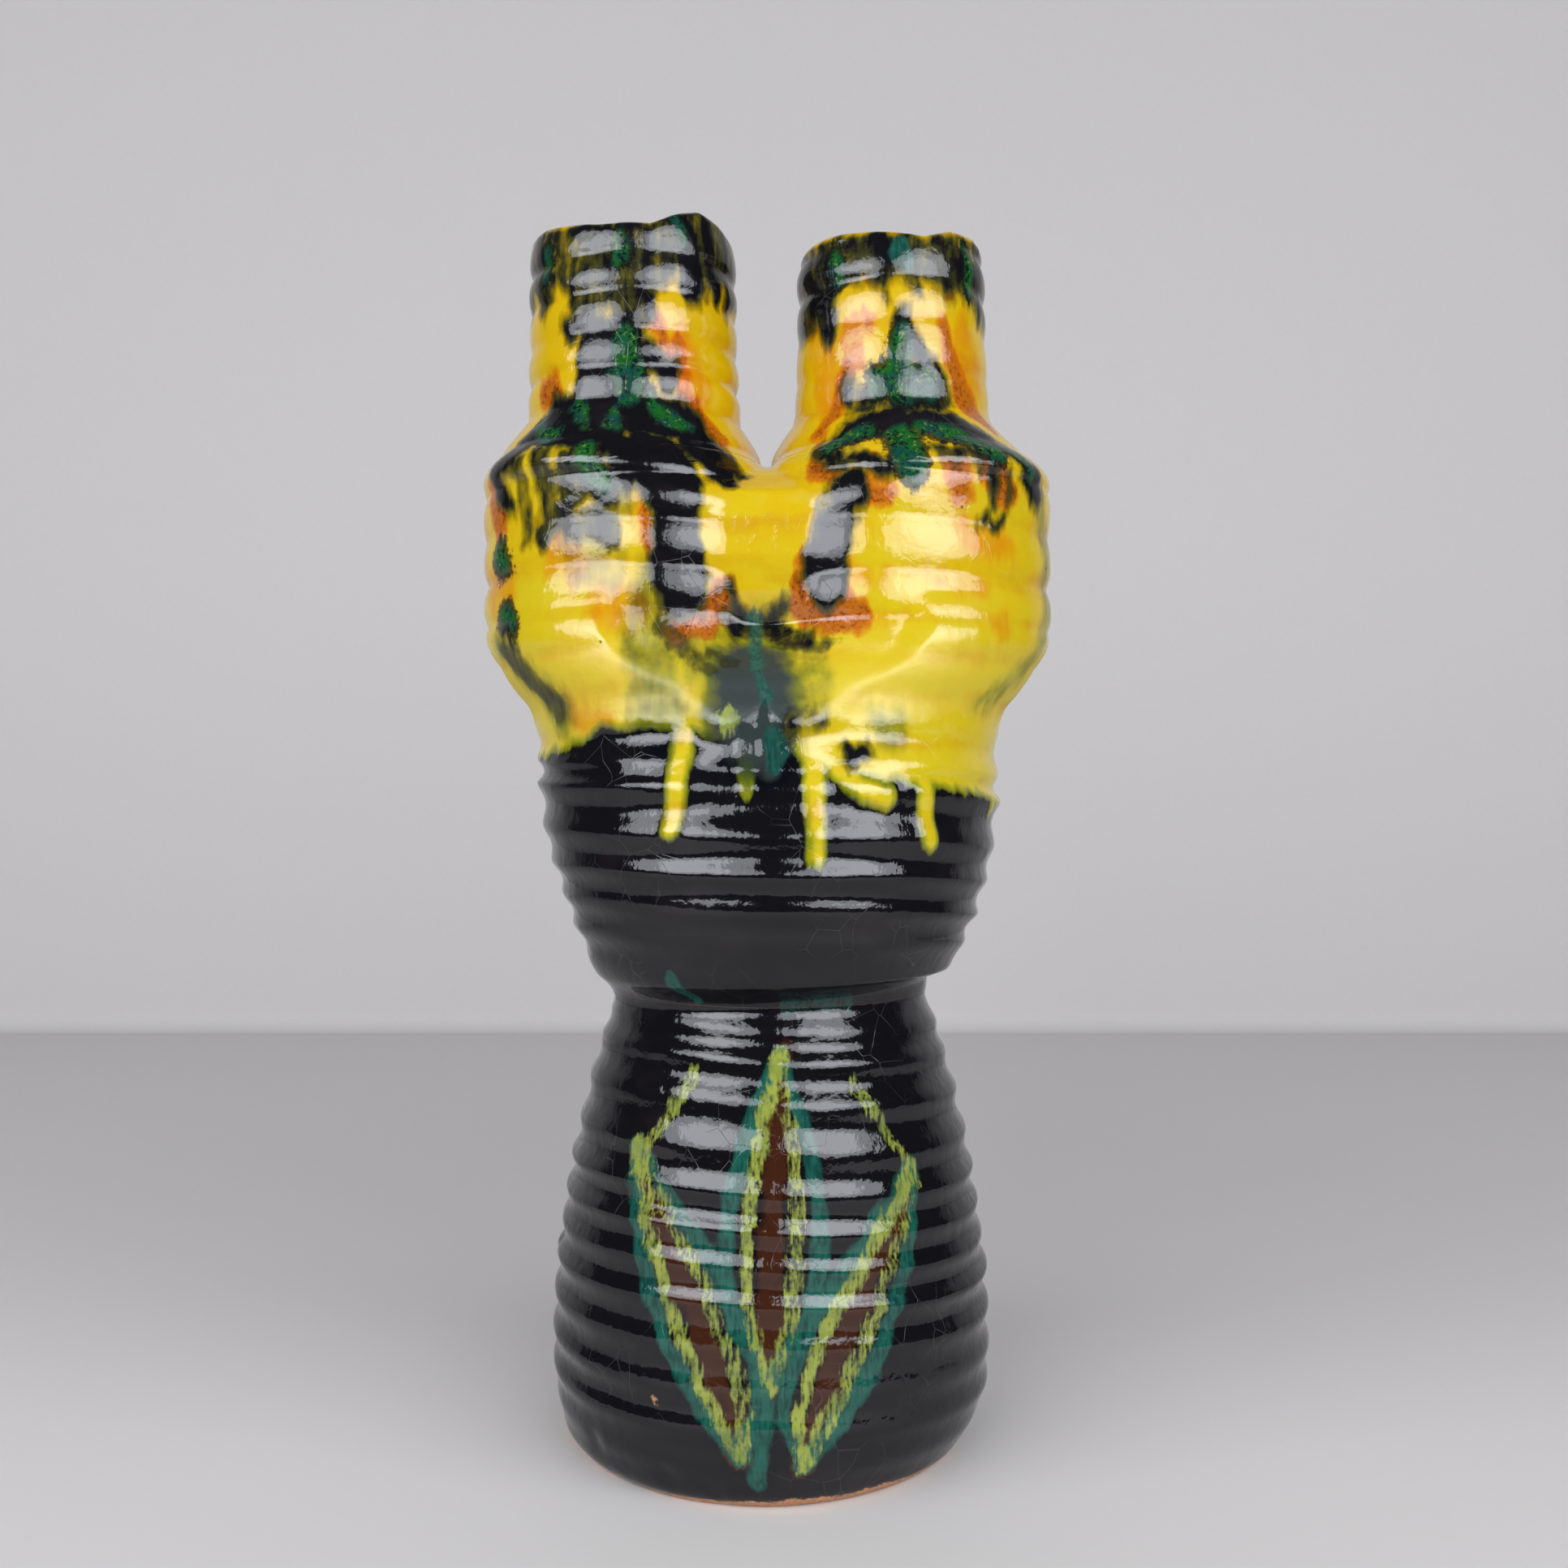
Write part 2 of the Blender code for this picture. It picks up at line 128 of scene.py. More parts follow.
# Necks: axis, radius at the collar and at the rim
NECK_SPREAD = {LEFT: 33.9, RIGHT: 31.3}
NECK_RADIUS = {LEFT: 26.4, RIGHT: 24.5}
RIM_RADIUS = {LEFT: 25.4, RIGHT: 22.9}
RIM_LEVEL = 296.0
LIP_RADIUS = 2.2

# Rim heights round each neck: (turn, height)
RIM_HEIGHTS = {
    LEFT: ((-180, 296.5), (-90, 297.5), (-55, 297.0), (-15, 295.0), (15, 295.4), (32, 298.6), (46, 300.3),
           (62, 299.2), (90, 296.5), (130, 295.6), (180, 296.5)),
    RIGHT: ((-180, 294.5), (-90, 294.6), (-40, 294.8), (-12, 294.2), (18, 293.2), (38, 295.6), (60, 296.0),
            (90, 294.2), (135, 293.8), (180, 294.5)),
}

# How far a flat web of clay fills the crease between the two lobes: (height, reach up each lobe)
WEB_REACHES = ((124.7, 0.25), (171.8, 3.0), (192.0, 8.0), (226.0, 7.5), (236.0, 4.0), (243.0, 2.0),
               (256.0, 1.5))
WEB_ROUND = 0.5

# The flat front and back of that web between the bulbs: (height, half depth), with none above and below
WEB_FRONTS = ((188.0, -20.0), (196.0, 24.0), (200.0, 28.8), (206.0, 31.3), (214.0, 32.6), (224.0, 32.6),
              (230.0, 30.5), (236.0, 22.0), (240.0, -20.0))
WEB_HALF_WIDTH = 15.0
WEB_FRONT_ROUND = 1.5

# Throwing ribs: the heights of their crests, shared up to the belt and then for each bulb and neck
BODY_CRESTS = (-6.0, 1.5, 9.0, 17.0, 26.0, 35.0, 44.5, 52.5, 60.3, 68.8, 77.7, 88.5, 98.0, 104.5, 115.0,
               124.0, 131.5, 140.0, 148.5, 160.0, 166.5, 175.0)
BULB_CRESTS = {
    LEFT: (186.5, 196.0, 206.0, 217.0, 227.5, 238.0, 247.0, 256.0, 264.5, 273.5, 283.0, 292.0, 302.0),
    RIGHT: (186.0, 194.5, 203.5, 216.0, 229.0, 238.5, 247.0, 257.0, 267.0, 277.5, 287.0, 297.0),
}

# How strong the ribs are: (height, share of the rib depth)
BODY_STRENGTHS = ((0.0, 0.2), (10.0, 0.4), (22.0, 0.8), (32.0, 1.15), (80.0, 1.0), (90.0, 0.75),
                  (100.0, 1.0), (108.0, 0.4), (118.0, 0.35), (123.0, 1.15), (129.0, 1.1), (133.0, 0.75),
                  (138.0, 1.1), (160.0, 1.1), (170.0, 0.7), (178.0, 0.5), (191.0, 0.5), (199.0, 0.75),
                  (230.0, 0.8))
RIB_STRENGTHS = {
    LEFT: BODY_STRENGTHS + ((248.0, 0.6), (258.0, 0.85), (296.0, 0.75)),
    RIGHT: BODY_STRENGTHS + ((248.0, 0.5), (255.0, 0.25), (270.0, 0.25), (276.0, 0.85), (296.0, 0.75)),
}
SIDE_STRENGTH = 0.3
RIB_WANDER = 0.2
RIB_VARIETY = 0.25
SCALLOP_LEVELS = (168.0, 190.0)
SCALLOP_ROUND = 0.002

# Ribs aren't level: they rise to the left by a tilt (height, tilt), and sway round the wall
RIB_TILTS = ((0.0, -2.2), (160.0, -2.2), (180.0, 0.0), (300.0, 0.0))
RIB_SWAY = 0.7
RIB_SWAY_CLOSE = 0.5

# Knocks low on the foot: (turn, height, reach, depth)
DENTS = ((-50.0, 9.0, 3.0, 0.9), (-26.0, 6.0, 3.0, 0.7), (-13.0, 3.5, 2.2, 0.6), (-84.0, 47.0, 2.6, 0.7))

# Dimples low on the bulbs: how deep, and over how much height they come in above the belt and fade again
DIMPLE_SHARE = 0.4
DIMPLE_RISE = 6.0
DIMPLE_TOP = 16.0
DIMPLE_FADE = 8.0

# Searches for the skin: how often they halve the way, how far out they start, and the saddle's lowest level
SEARCH_STEPS = 19
FAR_REACH = 90.0
SADDLE_START = SHOULDER_LEVEL - 8.0


def smooth(start, end, share):
    """A smooth step from start to end as share goes from 0 to 1."""
    share = np.clip(share, 0.0, 1.0)
    return start + (end - start) * share * share * (3.0 - 2.0 * share)


def along(value, stations):
    """The value of a list of (place, value) stations at each place."""
    places, values = zip(*stations)
    return np.interp(value, places, values)


def body_radius(z, bearing):
    """The half width of foot, waist and bowl at a height, before the bowl is pressed oval."""
    below = np.clip(1.0 - z / FOOT_BELLY_LEVEL, 0.0, 1.0)
    edge = FOOT_BASE_RADIUS + (FOOT_BELLY_RADIUS - FOOT_BASE_RADIUS) * np.sqrt(1.0 - below**2)
    above = np.clip((z - FOOT_BELLY_LEVEL) / (FOOT_TOP - FOOT_BELLY_LEVEL), 0.0, 1.0)
    dome = FOOT_BELLY_RADIUS - (FOOT_BELLY_RADIUS - WAIST_RADIUS) * above**2
    foot = np.where(z < FOOT_BELLY_LEVEL, edge, dome)
    rightward = np.cos(bearing)
    foot = foot - FOOT_TUCK * np.clip(rightward, 0.0, 1.0) * smooth(1.0, 0.0, z / FOOT_TUCK_LEVEL)
    share = np.clip((z - BOWL_BOTTOM) / BOWL_SWELL, 0.0, 1.0)
    bowl = BOWL_BASE_RADIUS + (BELT_HALF_WIDTH - BOWL_BASE_RADIUS) * np.sin(share * math.pi / 2)
    ledge = LEDGE_LEVEL + LEDGE_TILT * rightward
    height = LEDGE_HEIGHT - LEDGE_HEIGHT_TILT * rightward
    return smooth(foot, bowl, (z - ledge) / height + 0.5)


def body_axis(z):
    """Where the axis of foot, bowl and bulbs stands across the vase."""
    share = (z - BOWL_OVAL_LEVEL) / (BELT_LEVEL - BOWL_OVAL_LEVEL)
    shift = smooth(0.0, BOWL_SHIFT, (z - FOOT_TOP) / (BOWL_OVAL_LEVEL - FOOT_TOP))
    return shift + smooth(0.0, SEAM - BOWL_SHIFT, share)


def lobe_spread(z, side):
    """How far one lobe's axis stands from the seam."""
    pressed = smooth(0.0, BELT_SPREAD, (z - BOWL_OVAL_LEVEL) / (BELT_LEVEL - BOWL_OVAL_LEVEL))
    apart = smooth(BELT_SPREAD, BULB_SPREAD, (z - BELT_LEVEL) / BULB_SWELL)
    drawn = (z - SHOULDER_LEVEL) / (COLLAR_LEVEL - SHOULDER_LEVEL)
    inset = smooth(0.0, BULB_SPREAD - NECK_SPREAD[side], drawn)
    return np.where(z < BELT_LEVEL, pressed, apart - inset)


def lobe_radius(z, side, bearing):
    """One lobe's own radius: half the bowl below the belt, then the bulb, its shoulder and its neck."""
    pressed = body_radius(z, bearing) - lobe_spread(z, side)
    bulb = smooth(BELT_HALF_WIDTH - BELT_SPREAD, BULB_RADIUS, (z - BELT_LEVEL) / BULB_SWELL)
    rise = SHOULDER_RISE * np.clip(side * np.cos(bearing), 0.0, 1.0)
    shoulder = (z - SHOULDER_LEVEL) / (COLLAR_LEVEL + rise - SHOULDER_LEVEL)
    bulb = bulb - smooth(0.0, BULB_RADIUS - NECK_RADIUS[side], shoulder)
    taper = np.clip((z - COLLAR_LEVEL) / (RIM_LEVEL - COLLAR_LEVEL), 0.0, 1.2)
    bulb = bulb - (NECK_RADIUS[side] - RIM_RADIUS[side]) * taper
    return np.where(z < BELT_LEVEL, pressed, bulb)


def egg_share(z):
    """How egg-shaped the lobes are across: fully at the bulbs' bellies, not at the belt or the necks."""
    grown = smooth(0.0, 1.0, (z - BELT_LEVEL) / BULB_SWELL)
    return grown * smooth(1.0, 0.0, (z - EGG_TOP_LEVEL) / EGG_FADE)


def lobe_axis(z, side):
    """Where one lobe's axis stands across the vase."""
    width = EGG_WIDTH * egg_share(z) * lobe_radius(z, side, np.zeros_like(z))
    return np.where(z < BELT_LEVEL, body_axis(z), SEAM) + side * (lobe_spread(z, side) - width)


def rib_count(z, turn, side):
    """How many throwing ribs lie below a height at a turn: a whole number on each crest."""
    crests = BODY_CRESTS + BULB_CRESTS[side]
    sway = along(z, RIB_TILTS) * np.sin(turn) + RIB_SWAY * np.sin(2.0 * turn + 1.3)
    sway = sway + RIB_SWAY_CLOSE * np.sin(3.0 * turn + z / 23.0)
    return np.interp(z - sway, crests, np.arange(len(crests)))


def ribs(z, turn, side, depth):
    """How far the ribs stand out: waves up to the belt, then round crests with narrow valleys."""
    count = rib_count(z, turn, side)
    uneven = 1.0 - SIDE_STRENGTH * np.cos(2.0 * turn) + RIB_WANDER * np.sin(turn * 2.0 + z / 7.0)
    uneven = uneven * (1.0 + RIB_VARIETY * np.sin(2.4 * count))
    wave = np.cos(2.0 * math.pi * count)
    scallop = 1.0 - 2.0 * np.sqrt((2.0 * (count - np.round(count))) ** 4 + SCALLOP_ROUND)
    low, high = SCALLOP_LEVELS
    wave = smooth(wave, scallop, (z - low) / (high - low))
    return 0.5 * depth * along(z, RIB_STRENGTHS[side]) * uneven * wave


def dents(x, y, z):
    """How deep the knocks low on the foot are."""
    turn = np.degrees(np.arctan2(x, -y))
    total = np.zeros_like(z)
    for place, height, reach, depth in DENTS:
        away = ((turn - place) * FOOT_BELLY_RADIUS * math.pi / 180) ** 2 + (z - height) ** 2
        total = total + depth * np.exp(-away / reach**2)
    return total


def lumps(x, y, z, depth):
    """The slow unevenness of a wall pulled up by hand, with dimples low on the bulbs."""
    wide = np.sin(x / 13.0 + z / 21.0) * np.sin(y / 15.0 - z / 17.0 + 0.7)
    close = np.sin(x / 5.5 - y / 8.0 + z / 9.0) * np.sin(y / 6.5 + z / 8.0 + 1.9)
    dimples = np.sin(x / 1.9 + z / 2.6) * np.sin(x / 2.7 - z / 1.7 + y / 5.0)
    above = z - BELT_LEVEL
    rough = smooth(0.0, 0.35, above / DIMPLE_RISE) * smooth(1.0, 0.0, (above - DIMPLE_TOP) / DIMPLE_FADE)
    return depth * (0.7 * wide + 0.3 * close + DIMPLE_SHARE * rough * dimples)


def lobe_distance(x, y, z, side, skin):
    """Roughly how far a point is outside one lobe with its ribs."""
    bearing = np.arctan2(y, x - body_axis(z))
    radius = lobe_radius(z, side, bearing)
    egg = egg_share(z)
    outward = side * (x - lobe_axis(z, side)) / (radius * (1.0 + EGG_WIDTH * egg))
    depth = radius * (1.0 - EGG_SHARE * egg * np.clip(outward, -1.5, 1.5))
    low, high = CHEEK_LEVELS
    cheek = np.sin(2.0 * math.pi * np.clip((z - low) / (high - low), 0.0, 1.0))
    depth = depth - CHEEK_DEPTH * cheek * smooth(0.0, 1.0, (outward + CHEEK_START) / CHEEK_FADE)
    away = np.hypot(outward, y / depth)
    turn = np.arctan2(x - lobe_axis(z, side), -y)
    return (away - 1.0) * radius - ribs(z, turn, side, skin.rib_depth / MM)


def rounded_join(first, second, width):
    """The distance to the nearer of two forms, with the crease between them rounded over a width."""
    share = np.clip(1.0 - np.abs(first - second) / width, 0.0, 1.0)
    return np.minimum(first, second) - share**2 * width / 4


def skin_distance(x, y, z, skin):
    """Roughly how far a point is outside the whole skin: two lobes, and the web with its rounded edges."""
    first = lobe_distance(x, y, z, LEFT, skin)
    second = lobe_distance(x, y, z, RIGHT, skin)
    nearest = np.minimum(first, second)
    reach = along(z, WEB_REACHES)
    web = (first + second - reach) * math.sqrt(0.5)
    edge = WEB_ROUND * reach
    front = np.maximum(np.abs(y) - along(z, WEB_FRONTS), np.abs(x - SEAM) - WEB_HALF_WIDTH)
    joined = rounded_join(rounded_join(nearest, web, edge), front, WEB_FRONT_ROUND)
    return joined - lumps(x, y, z, skin.lump_depth / MM) + dents(x, y, z)


def search(inside, near, far):
    """Halves the way between near, which is inside, and far, which isn't, until it ends on the skin."""
    for _ in range(SEARCH_STEPS):
        middle = (near + far) / 2
        within = inside(middle)
        near = np.where(within, middle, near)
        far = np.where(within, far, middle)
    return (near + far) / 2


def seam_reach(axis, turn):
    """How far a search from a lobe's axis may go: no further than the seam."""
    inward = np.maximum(np.sin(turn) * np.sign(SEAM - axis), 1e-6)
    return np.minimum(np.abs(SEAM - axis) / inward, FAR_REACH)


def skin_points(axis, turn, z, skin, limit=FAR_REACH):
    """The skin's points at heights z, seen from an axis at these turns (in radians)."""
    axis, turn, z, limit = np.broadcast_arrays(axis, turn, z, limit)
    across, forward = np.sin(turn), -np.cos(turn)

    def inside(reach):
        return skin_distance(axis + across * reach, forward * reach, z, skin) < 0.0

    reach = search(inside, np.full(z.shape, 1.0), limit)
    return np.stack((axis + across * reach, forward * reach, z), axis=-1)


def seam_depth(z, skin):
    """How far in front of the middle plane the crease between the lobes lies: 0 above the saddle."""
    x = np.full(z.shape, SEAM)

    def inside(depth):
        return skin_distance(x, -depth, z, skin) < 0.0

    depth = search(inside, np.zeros(z.shape), np.full(z.shape, FAR_REACH))
    return np.where(inside(np.zeros(z.shape)), depth, 0.0)


def saddle_level(skin):
    """The height of the saddle between the two bulbs."""
    x = np.array([SEAM])

    def inside(z):
        return skin_distance(x, np.zeros(1), z, skin) < 0.0

    return float(search(inside, np.array([SADDLE_START]), np.array([COLLAR_LEVEL]))[0])


# Glazes. A stroke has the axis that its turns are counted from, a colour, its half width at the start and
# at the end, the most it may cover (FULL is closed, about 0 is broken, below 0 is a film), how far it runs
# with the streaks down the wall, and its points as (turn, height)
Stroke = namedtuple("Stroke", "axis colour start end cover run points")
COLOURS = ("yellow", "dark", "green", "rust", "lime", "bare", "haze", "amber", "teal")
LAYERS = ("glaze_ground", "glaze_touch", "glaze_veil")
UNTOUCHED = -9.0
FULL = 9.0
STROKE_STRETCH = 0.7

# How far each colour creeps out of its strokes, as a share of the streaks that run down the wall
CREEP_SHARES = {"yellow": 0.25, "dark": 0.8, "green": 0.7, "rust": 0.8, "lime": 0.4, "bare": 0.0,
                "haze": 0.8, "amber": 0.8, "teal": 0.4}
RIPPLE_WAVES = 7

# The ripples in that creep, across the wall and in streaks down it: (distance, pitch, seed)
CREEP_ACROSS = (0.8, 6.0, 5)
CREEP_DOWN = ((2.0, 6.5, 3), (0.7, 2.8, 4))
STREAK_STRETCH = 0.15

# The coat: how far its yellow edge rounds off to each side, and the share of its thickness in patches
COAT_EDGE = 1.2
PATCH_LIFT = 0.3


def stroke(axis, colour, start, end, *points, cover=FULL, run=None):
    """A stroke of glaze through these points, which creeps as its colour does or has a run of its own."""
    if run is None:
        run = CREEP_SHARES[colour]
    return Stroke(axis, colour, start, end, cover, run, points)


on_body = partial(stroke, "body")
on_left = partial(stroke, "left")
on_right = partial(stroke, "right")

# Where the yellow glaze ends on the bowl: (turn, height)
YELLOW_EDGE = ((-180, 165), (-150, 168), (-120, 163), (-92, 166), (-70, 168), (-56, 170), (-46, 174),
               (-38, 174), (-24, 173), (-10, 171), (-4, 176), (0, 180), (4, 174), (9, 165.5), (25, 162.5),
               (38, 161), (52, 160), (72, 157), (90, 154), (112, 158), (130, 164), (150, 161), (165, 167),
               (180, 165))

# How far down the dark rims reach on each neck, (turn, height), and how far below the lip's top they start
RIM_EDGES = {
    LEFT: ((-180, 281), (-140, 277), (-100, 281), (-75, 277), (-60, 282), (-50, 276), (-40, 284),
           (-30, 278), (-18, 274), (-8, 276), (2, 271), (12, 270), (20, 282), (30, 284), (38, 280),
           (46, 284), (54, 281), (62, 285), (72, 279), (95, 284), (130, 278), (155, 283), (180, 281)),
    RIGHT: ((-180, 280), (-150, 283), (-110, 277), (-75, 272), (-55, 273), (-42, 277), (-32, 284),
            (-18, 283), (-8, 280), (-2, 283), (8, 281), (18, 284), (32, 280), (42, 282), (52, 279),
            (62, 277), (80, 275), (110, 281), (145, 276), (180, 280)),
}
LIP_GAPS = {
    LEFT: ((-180, 1.0), (-80, 1.4), (-40, 2.0), (10, 1.8), (22, 0.4), (32, -2.0), (75, -2.0), (100, 1.0),
           (180, 1.0)),
    RIGHT: ((-180, 1.6), (-60, 2.0), (0, 2.2), (60, 2.0), (180, 1.6)),
}
RIM_COVER = 0.35
RIM_SLOPE = 0.4

# The bare clay round the foot's lower edge: its height and how far that swings
BARE_HEIGHT = 1.2
BARE_SWING = 0.9

DRIPS = (
    on_body("yellow", 2.8, 2.3, (-23, 172), (-23, 160), (-24, 151.5)),
    on_body("yellow", 2.6, 2.0, (12, 170), (12.5, 156), (12, 146)),
    on_body("yellow", 2.8, 2.4, (42, 168), (42, 155), (42.5, 148.5)),
    on_body("yellow", 2.4, 1.6, (71, 162), (72, 155)),
    on_body("yellow", 2.4, 2.0, (19, 165), (25, 159), (31, 158)),
    on_body("yellow", 2.2, 1.6, (-5, 172), (-5, 160), cover=0.1),
    on_body("yellow", 2.6, 1.8, (-118, 168), (-118, 147)),
    on_body("yellow", 2.4, 2.0, (-160, 168), (-161, 152)),
    on_body("yellow", 2.9, 2.0, (121, 165), (122, 144)),
    on_body("yellow", 2.3, 1.7, (158, 168), (157, 155)),
)

LEFT_NECK = (
    on_left("dark", 3.0, 2.2, (-80, 294), (-74, 278)),
    on_left("rust", 1.3, 1.0, (-67, 292), (-66, 288)),
    on_left("dark", 1.7, 1.2, (-54, 293), (-55, 277)),
    on_left("green", 1.5, 1.3, (-48, 290), (-49, 285)),
    on_left("dark", 4.6, 3.8, (-24, 289), (-21, 276), cover=0.3),
    on_left("dark", 1.4, 1.4, (-30, 293.5), (-12, 293), (8, 292.5)),
    on_left("dark", 3.6, 2.6, (-2, 289), (0, 272), cover=0.0),
    on_left("green", 1.9, 1.6, (-3, 290), (-1, 286.5)),
    on_left("rust", 1.3, 1.0, (9, 289), (9, 286)),
    on_left("dark", 1.5, 1.2, (13, 292), (12, 272)),
    on_left("dark", 3.4, 3.6, (33, 297), (39, 283)),
    on_left("dark", 2.4, 2.2, (49, 298), (55, 283)),
    on_left("green", 1.4, 1.0, (30, 297), (32, 293)),
    on_left("rust", 1.6, 1.3, (52, 295), (58, 288)),
    on_left("dark", 1.9, 1.6, (66, 294), (70, 279)),
    on_left("dark", 1.6, 2.0, (-31, 271), (-18, 270), (-4, 271)),
    on_left("dark", 4.4, 6.0, (-12, 267), (-14, 260), (-13, 254)),
    on_left("dark", 3.4, 4.6, (2, 269), (3, 260), (4, 252)),
    on_left("green", 3.0, 3.4, (0, 266), (-1, 260), (4, 254.5)),
    on_left("rust", 1.4, 1.2, (19, 271), (22, 266)),
    on_left("dark", 2.2, 2.8, (11, 262), (24, 259.5)),
    on_left("rust", 1.6, 1.3, (28, 266), (31, 259)),
    on_left("amber", 4.0, 4.0, (32, 265), (40, 256), cover=1.0),
    on_left("rust", 2.1, 1.9, (-49, 258), (-41, 255)),
    on_left("rust", 1.4, 1.8, (34, 254), (49, 244)),
    on_left("dark", 3.0, 3.4, (-37, 250), (-4, 250), (34, 249)),
)

LEFT_BULB = (
    on_left("dark", 3.2, 4.2, (-57, 237), (-36, 246), (-8, 247.5), (16, 247), (34, 243), (44, 237)),
    on_left("green", 2.2, 2.4, (-42, 246), (-31, 243)),
    on_left("green", 2.0, 1.8, (-23, 250), (-16, 246)),
    on_left("green", 1.8, 1.8, (-5, 249), (-3, 245)),
    on_left("green", 2.3, 2.6, (17, 250), (27, 246)),
    on_left("dark", 3.0, 3.6, (-30, 243), (-8, 241.5), (12, 240)),
    on_left("dark", 2.2, 1.6, (-62, 237), (-53, 227)),
    on_left("rust", 2.8, 2.2, (-64, 231), (-60, 224)),
    on_left("dark", 1.4, 0.9, (-44, 237), (-43, 219), cover=0.1),
    on_left("dark", 2.4, 1.6, (-32, 238), (-31, 223), cover=0.3),
    on_left("dark", 1.8, 1.4, (-21, 237), (-22, 226), cover=0.4),
    on_left("dark", 2.6, 2.4, (-31, 230.5), (-4, 230.5), cover=0.3),
    on_left("dark", 2.4, 2.2, (-33, 221.5), (-3, 221), cover=0.2),
    on_left("haze", 2.6, 2.4, (-8, 228), (-2, 224), cover=0.4),
    on_left("green", 3.0, 2.4, (-12, 236), (-7, 232)),
    on_left("dark", 4.6, 5.0, (4, 239), (14, 231)),
    on_left("dark", 3.6, 3.0, (31, 241), (41, 234)),
    on_left("dark", 5.4, 5.8, (16, 238), (21, 231), (19.5, 224), (18.5, 215), (22, 207.5)),
    on_left("amber", 1.5, 1.5, (7, 225), (10, 224), cover=4.0),
    on_left("rust", 1.4, 1.1, (9, 221), (9, 217)),
    on_left("rust", 2.6, 3.0, (19, 197), (28, 199), (36, 202)),
    on_left("dark", 2.4, 2.8, (40, 198), (52, 193), cover=0.6),
    on_left("haze", 4.6, 6.4, (12, 208), (8, 197), (-5, 186), (-17, 176), cover=1.2),
    on_left("haze", 4.0, 6.0, (18, 200), (17, 184), cover=0.4),
    on_left("dark", 1.3, 1.0, (14, 197), (15, 187), cover=-0.3),
    on_left("dark", 1.0, 0.8, (22, 190), (22, 180), cover=-0.7),
    on_left("haze", 3.0, 3.0, (-20, 214), (-4, 212), cover=-0.2),
    on_left("green", 2.2, 2.0, (-61, 217), (-57, 213)),
    on_left("green", 1.5, 1.7, (-58, 201), (-50, 200)),
    on_left("dark", 1.6, 1.5, (-56, 199), (-52, 194)),
    on_left("haze", 3.0, 4.0, (-62, 194), (-57, 186), (-52, 178), cover=2.4, run=0.1),
    on_left("dark", 1.8, 2.2, (-60, 192), (-56, 186), (-53, 180), cover=0.0, run=0.1),
    on_left("amber", 4.0, 4.0, (-64, 209), (-56, 206), cover=0.8),
    on_left("amber", 3.0, 3.0, (-27, 214), (-20, 212), cover=0.3),
    on_left("amber", 3.4, 3.4, (-8, 203), (4, 201), cover=0.2),
    on_left("amber", 2.0, 1.4, (-48, 176.5), (-34, 175.5), cover=0.8, run=0.2),
)

RIGHT_NECK = (
    on_right("dark", 3.2, 2.6, (-70, 290), (-56, 281), (-44, 273)),
    on_right("rust", 1.5, 1.2, (-52, 289), (-50, 285)),
    on_right("green", 2.0, 1.8, (-37, 288), (-36, 284)),
    on_right("dark", 3.2, 3.2, (-28, 287), (0, 287), (30, 286), cover=0.5),
    on_right("dark", 1.4, 1.2, (-36, 292), (-29, 291.5)),
    on_right("dark", 1.2, 1.3, (-14, 291.5), (-9, 291)),
    on_right("dark", 1.3, 1.2, (4, 291), (9, 291)),
    on_right("dark", 1.5, 1.4, (20, 291), (31, 290.5)),
    on_right("teal", 2.2, 1.8, (1, 289), (6, 285)),
    on_right("rust", 1.8, 1.5, (-18, 288), (-15, 284)),
    on_right("rust", 1.8, 1.5, (30, 288), (33, 283)),
    on_right("green", 2.0, 1.8, (50, 289), (51, 282)),
    on_right("dark", 1.8, 1.6, (40, 290), (43, 281)),
    on_right("dark", 2.4, 1.6, (67, 292), (65, 276)),
    on_right("dark", 1.2, 0.7, (-9, 284), (-7, 278), cover=-0.2),
    on_right("dark", 1.2, 0.7, (12, 284), (11, 278), cover=-0.2),
    on_right("rust", 1.0, 0.9, (-18, 272.5), (-16, 272)),
    on_right("rust", 2.4, 2.2, (-27, 269), (-25, 264), cover=-0.6),
    on_right("dark", 1.4, 2.2, (2, 272), (3, 267)),
    on_right("dark", 1.3, 1.2, (5, 269), (16, 262), (27, 258)),
    on_right("green", 2.2, 4.6, (2, 267), (0, 259)),
    on_right("green", 2.6, 2.4, (-11, 257.5), (18, 256.5)),
    on_right("dark", 2.4, 2.4, (-28, 254), (0, 252.5), (28, 254), cover=0.35),
    on_right("rust", 1.2, 1.9, (-28, 261), (-33, 254), (-43, 245)),
    on_right("rust", 1.2, 2.0, (29, 272), (35, 263), (43, 255), (56, 248)),
    on_right("amber", 4.0, 4.0, (-50, 268), (-44, 258), cover=0.4),
    on_right("amber", 3.4, 3.4, (44, 268), (52, 260), cover=0.4),
)

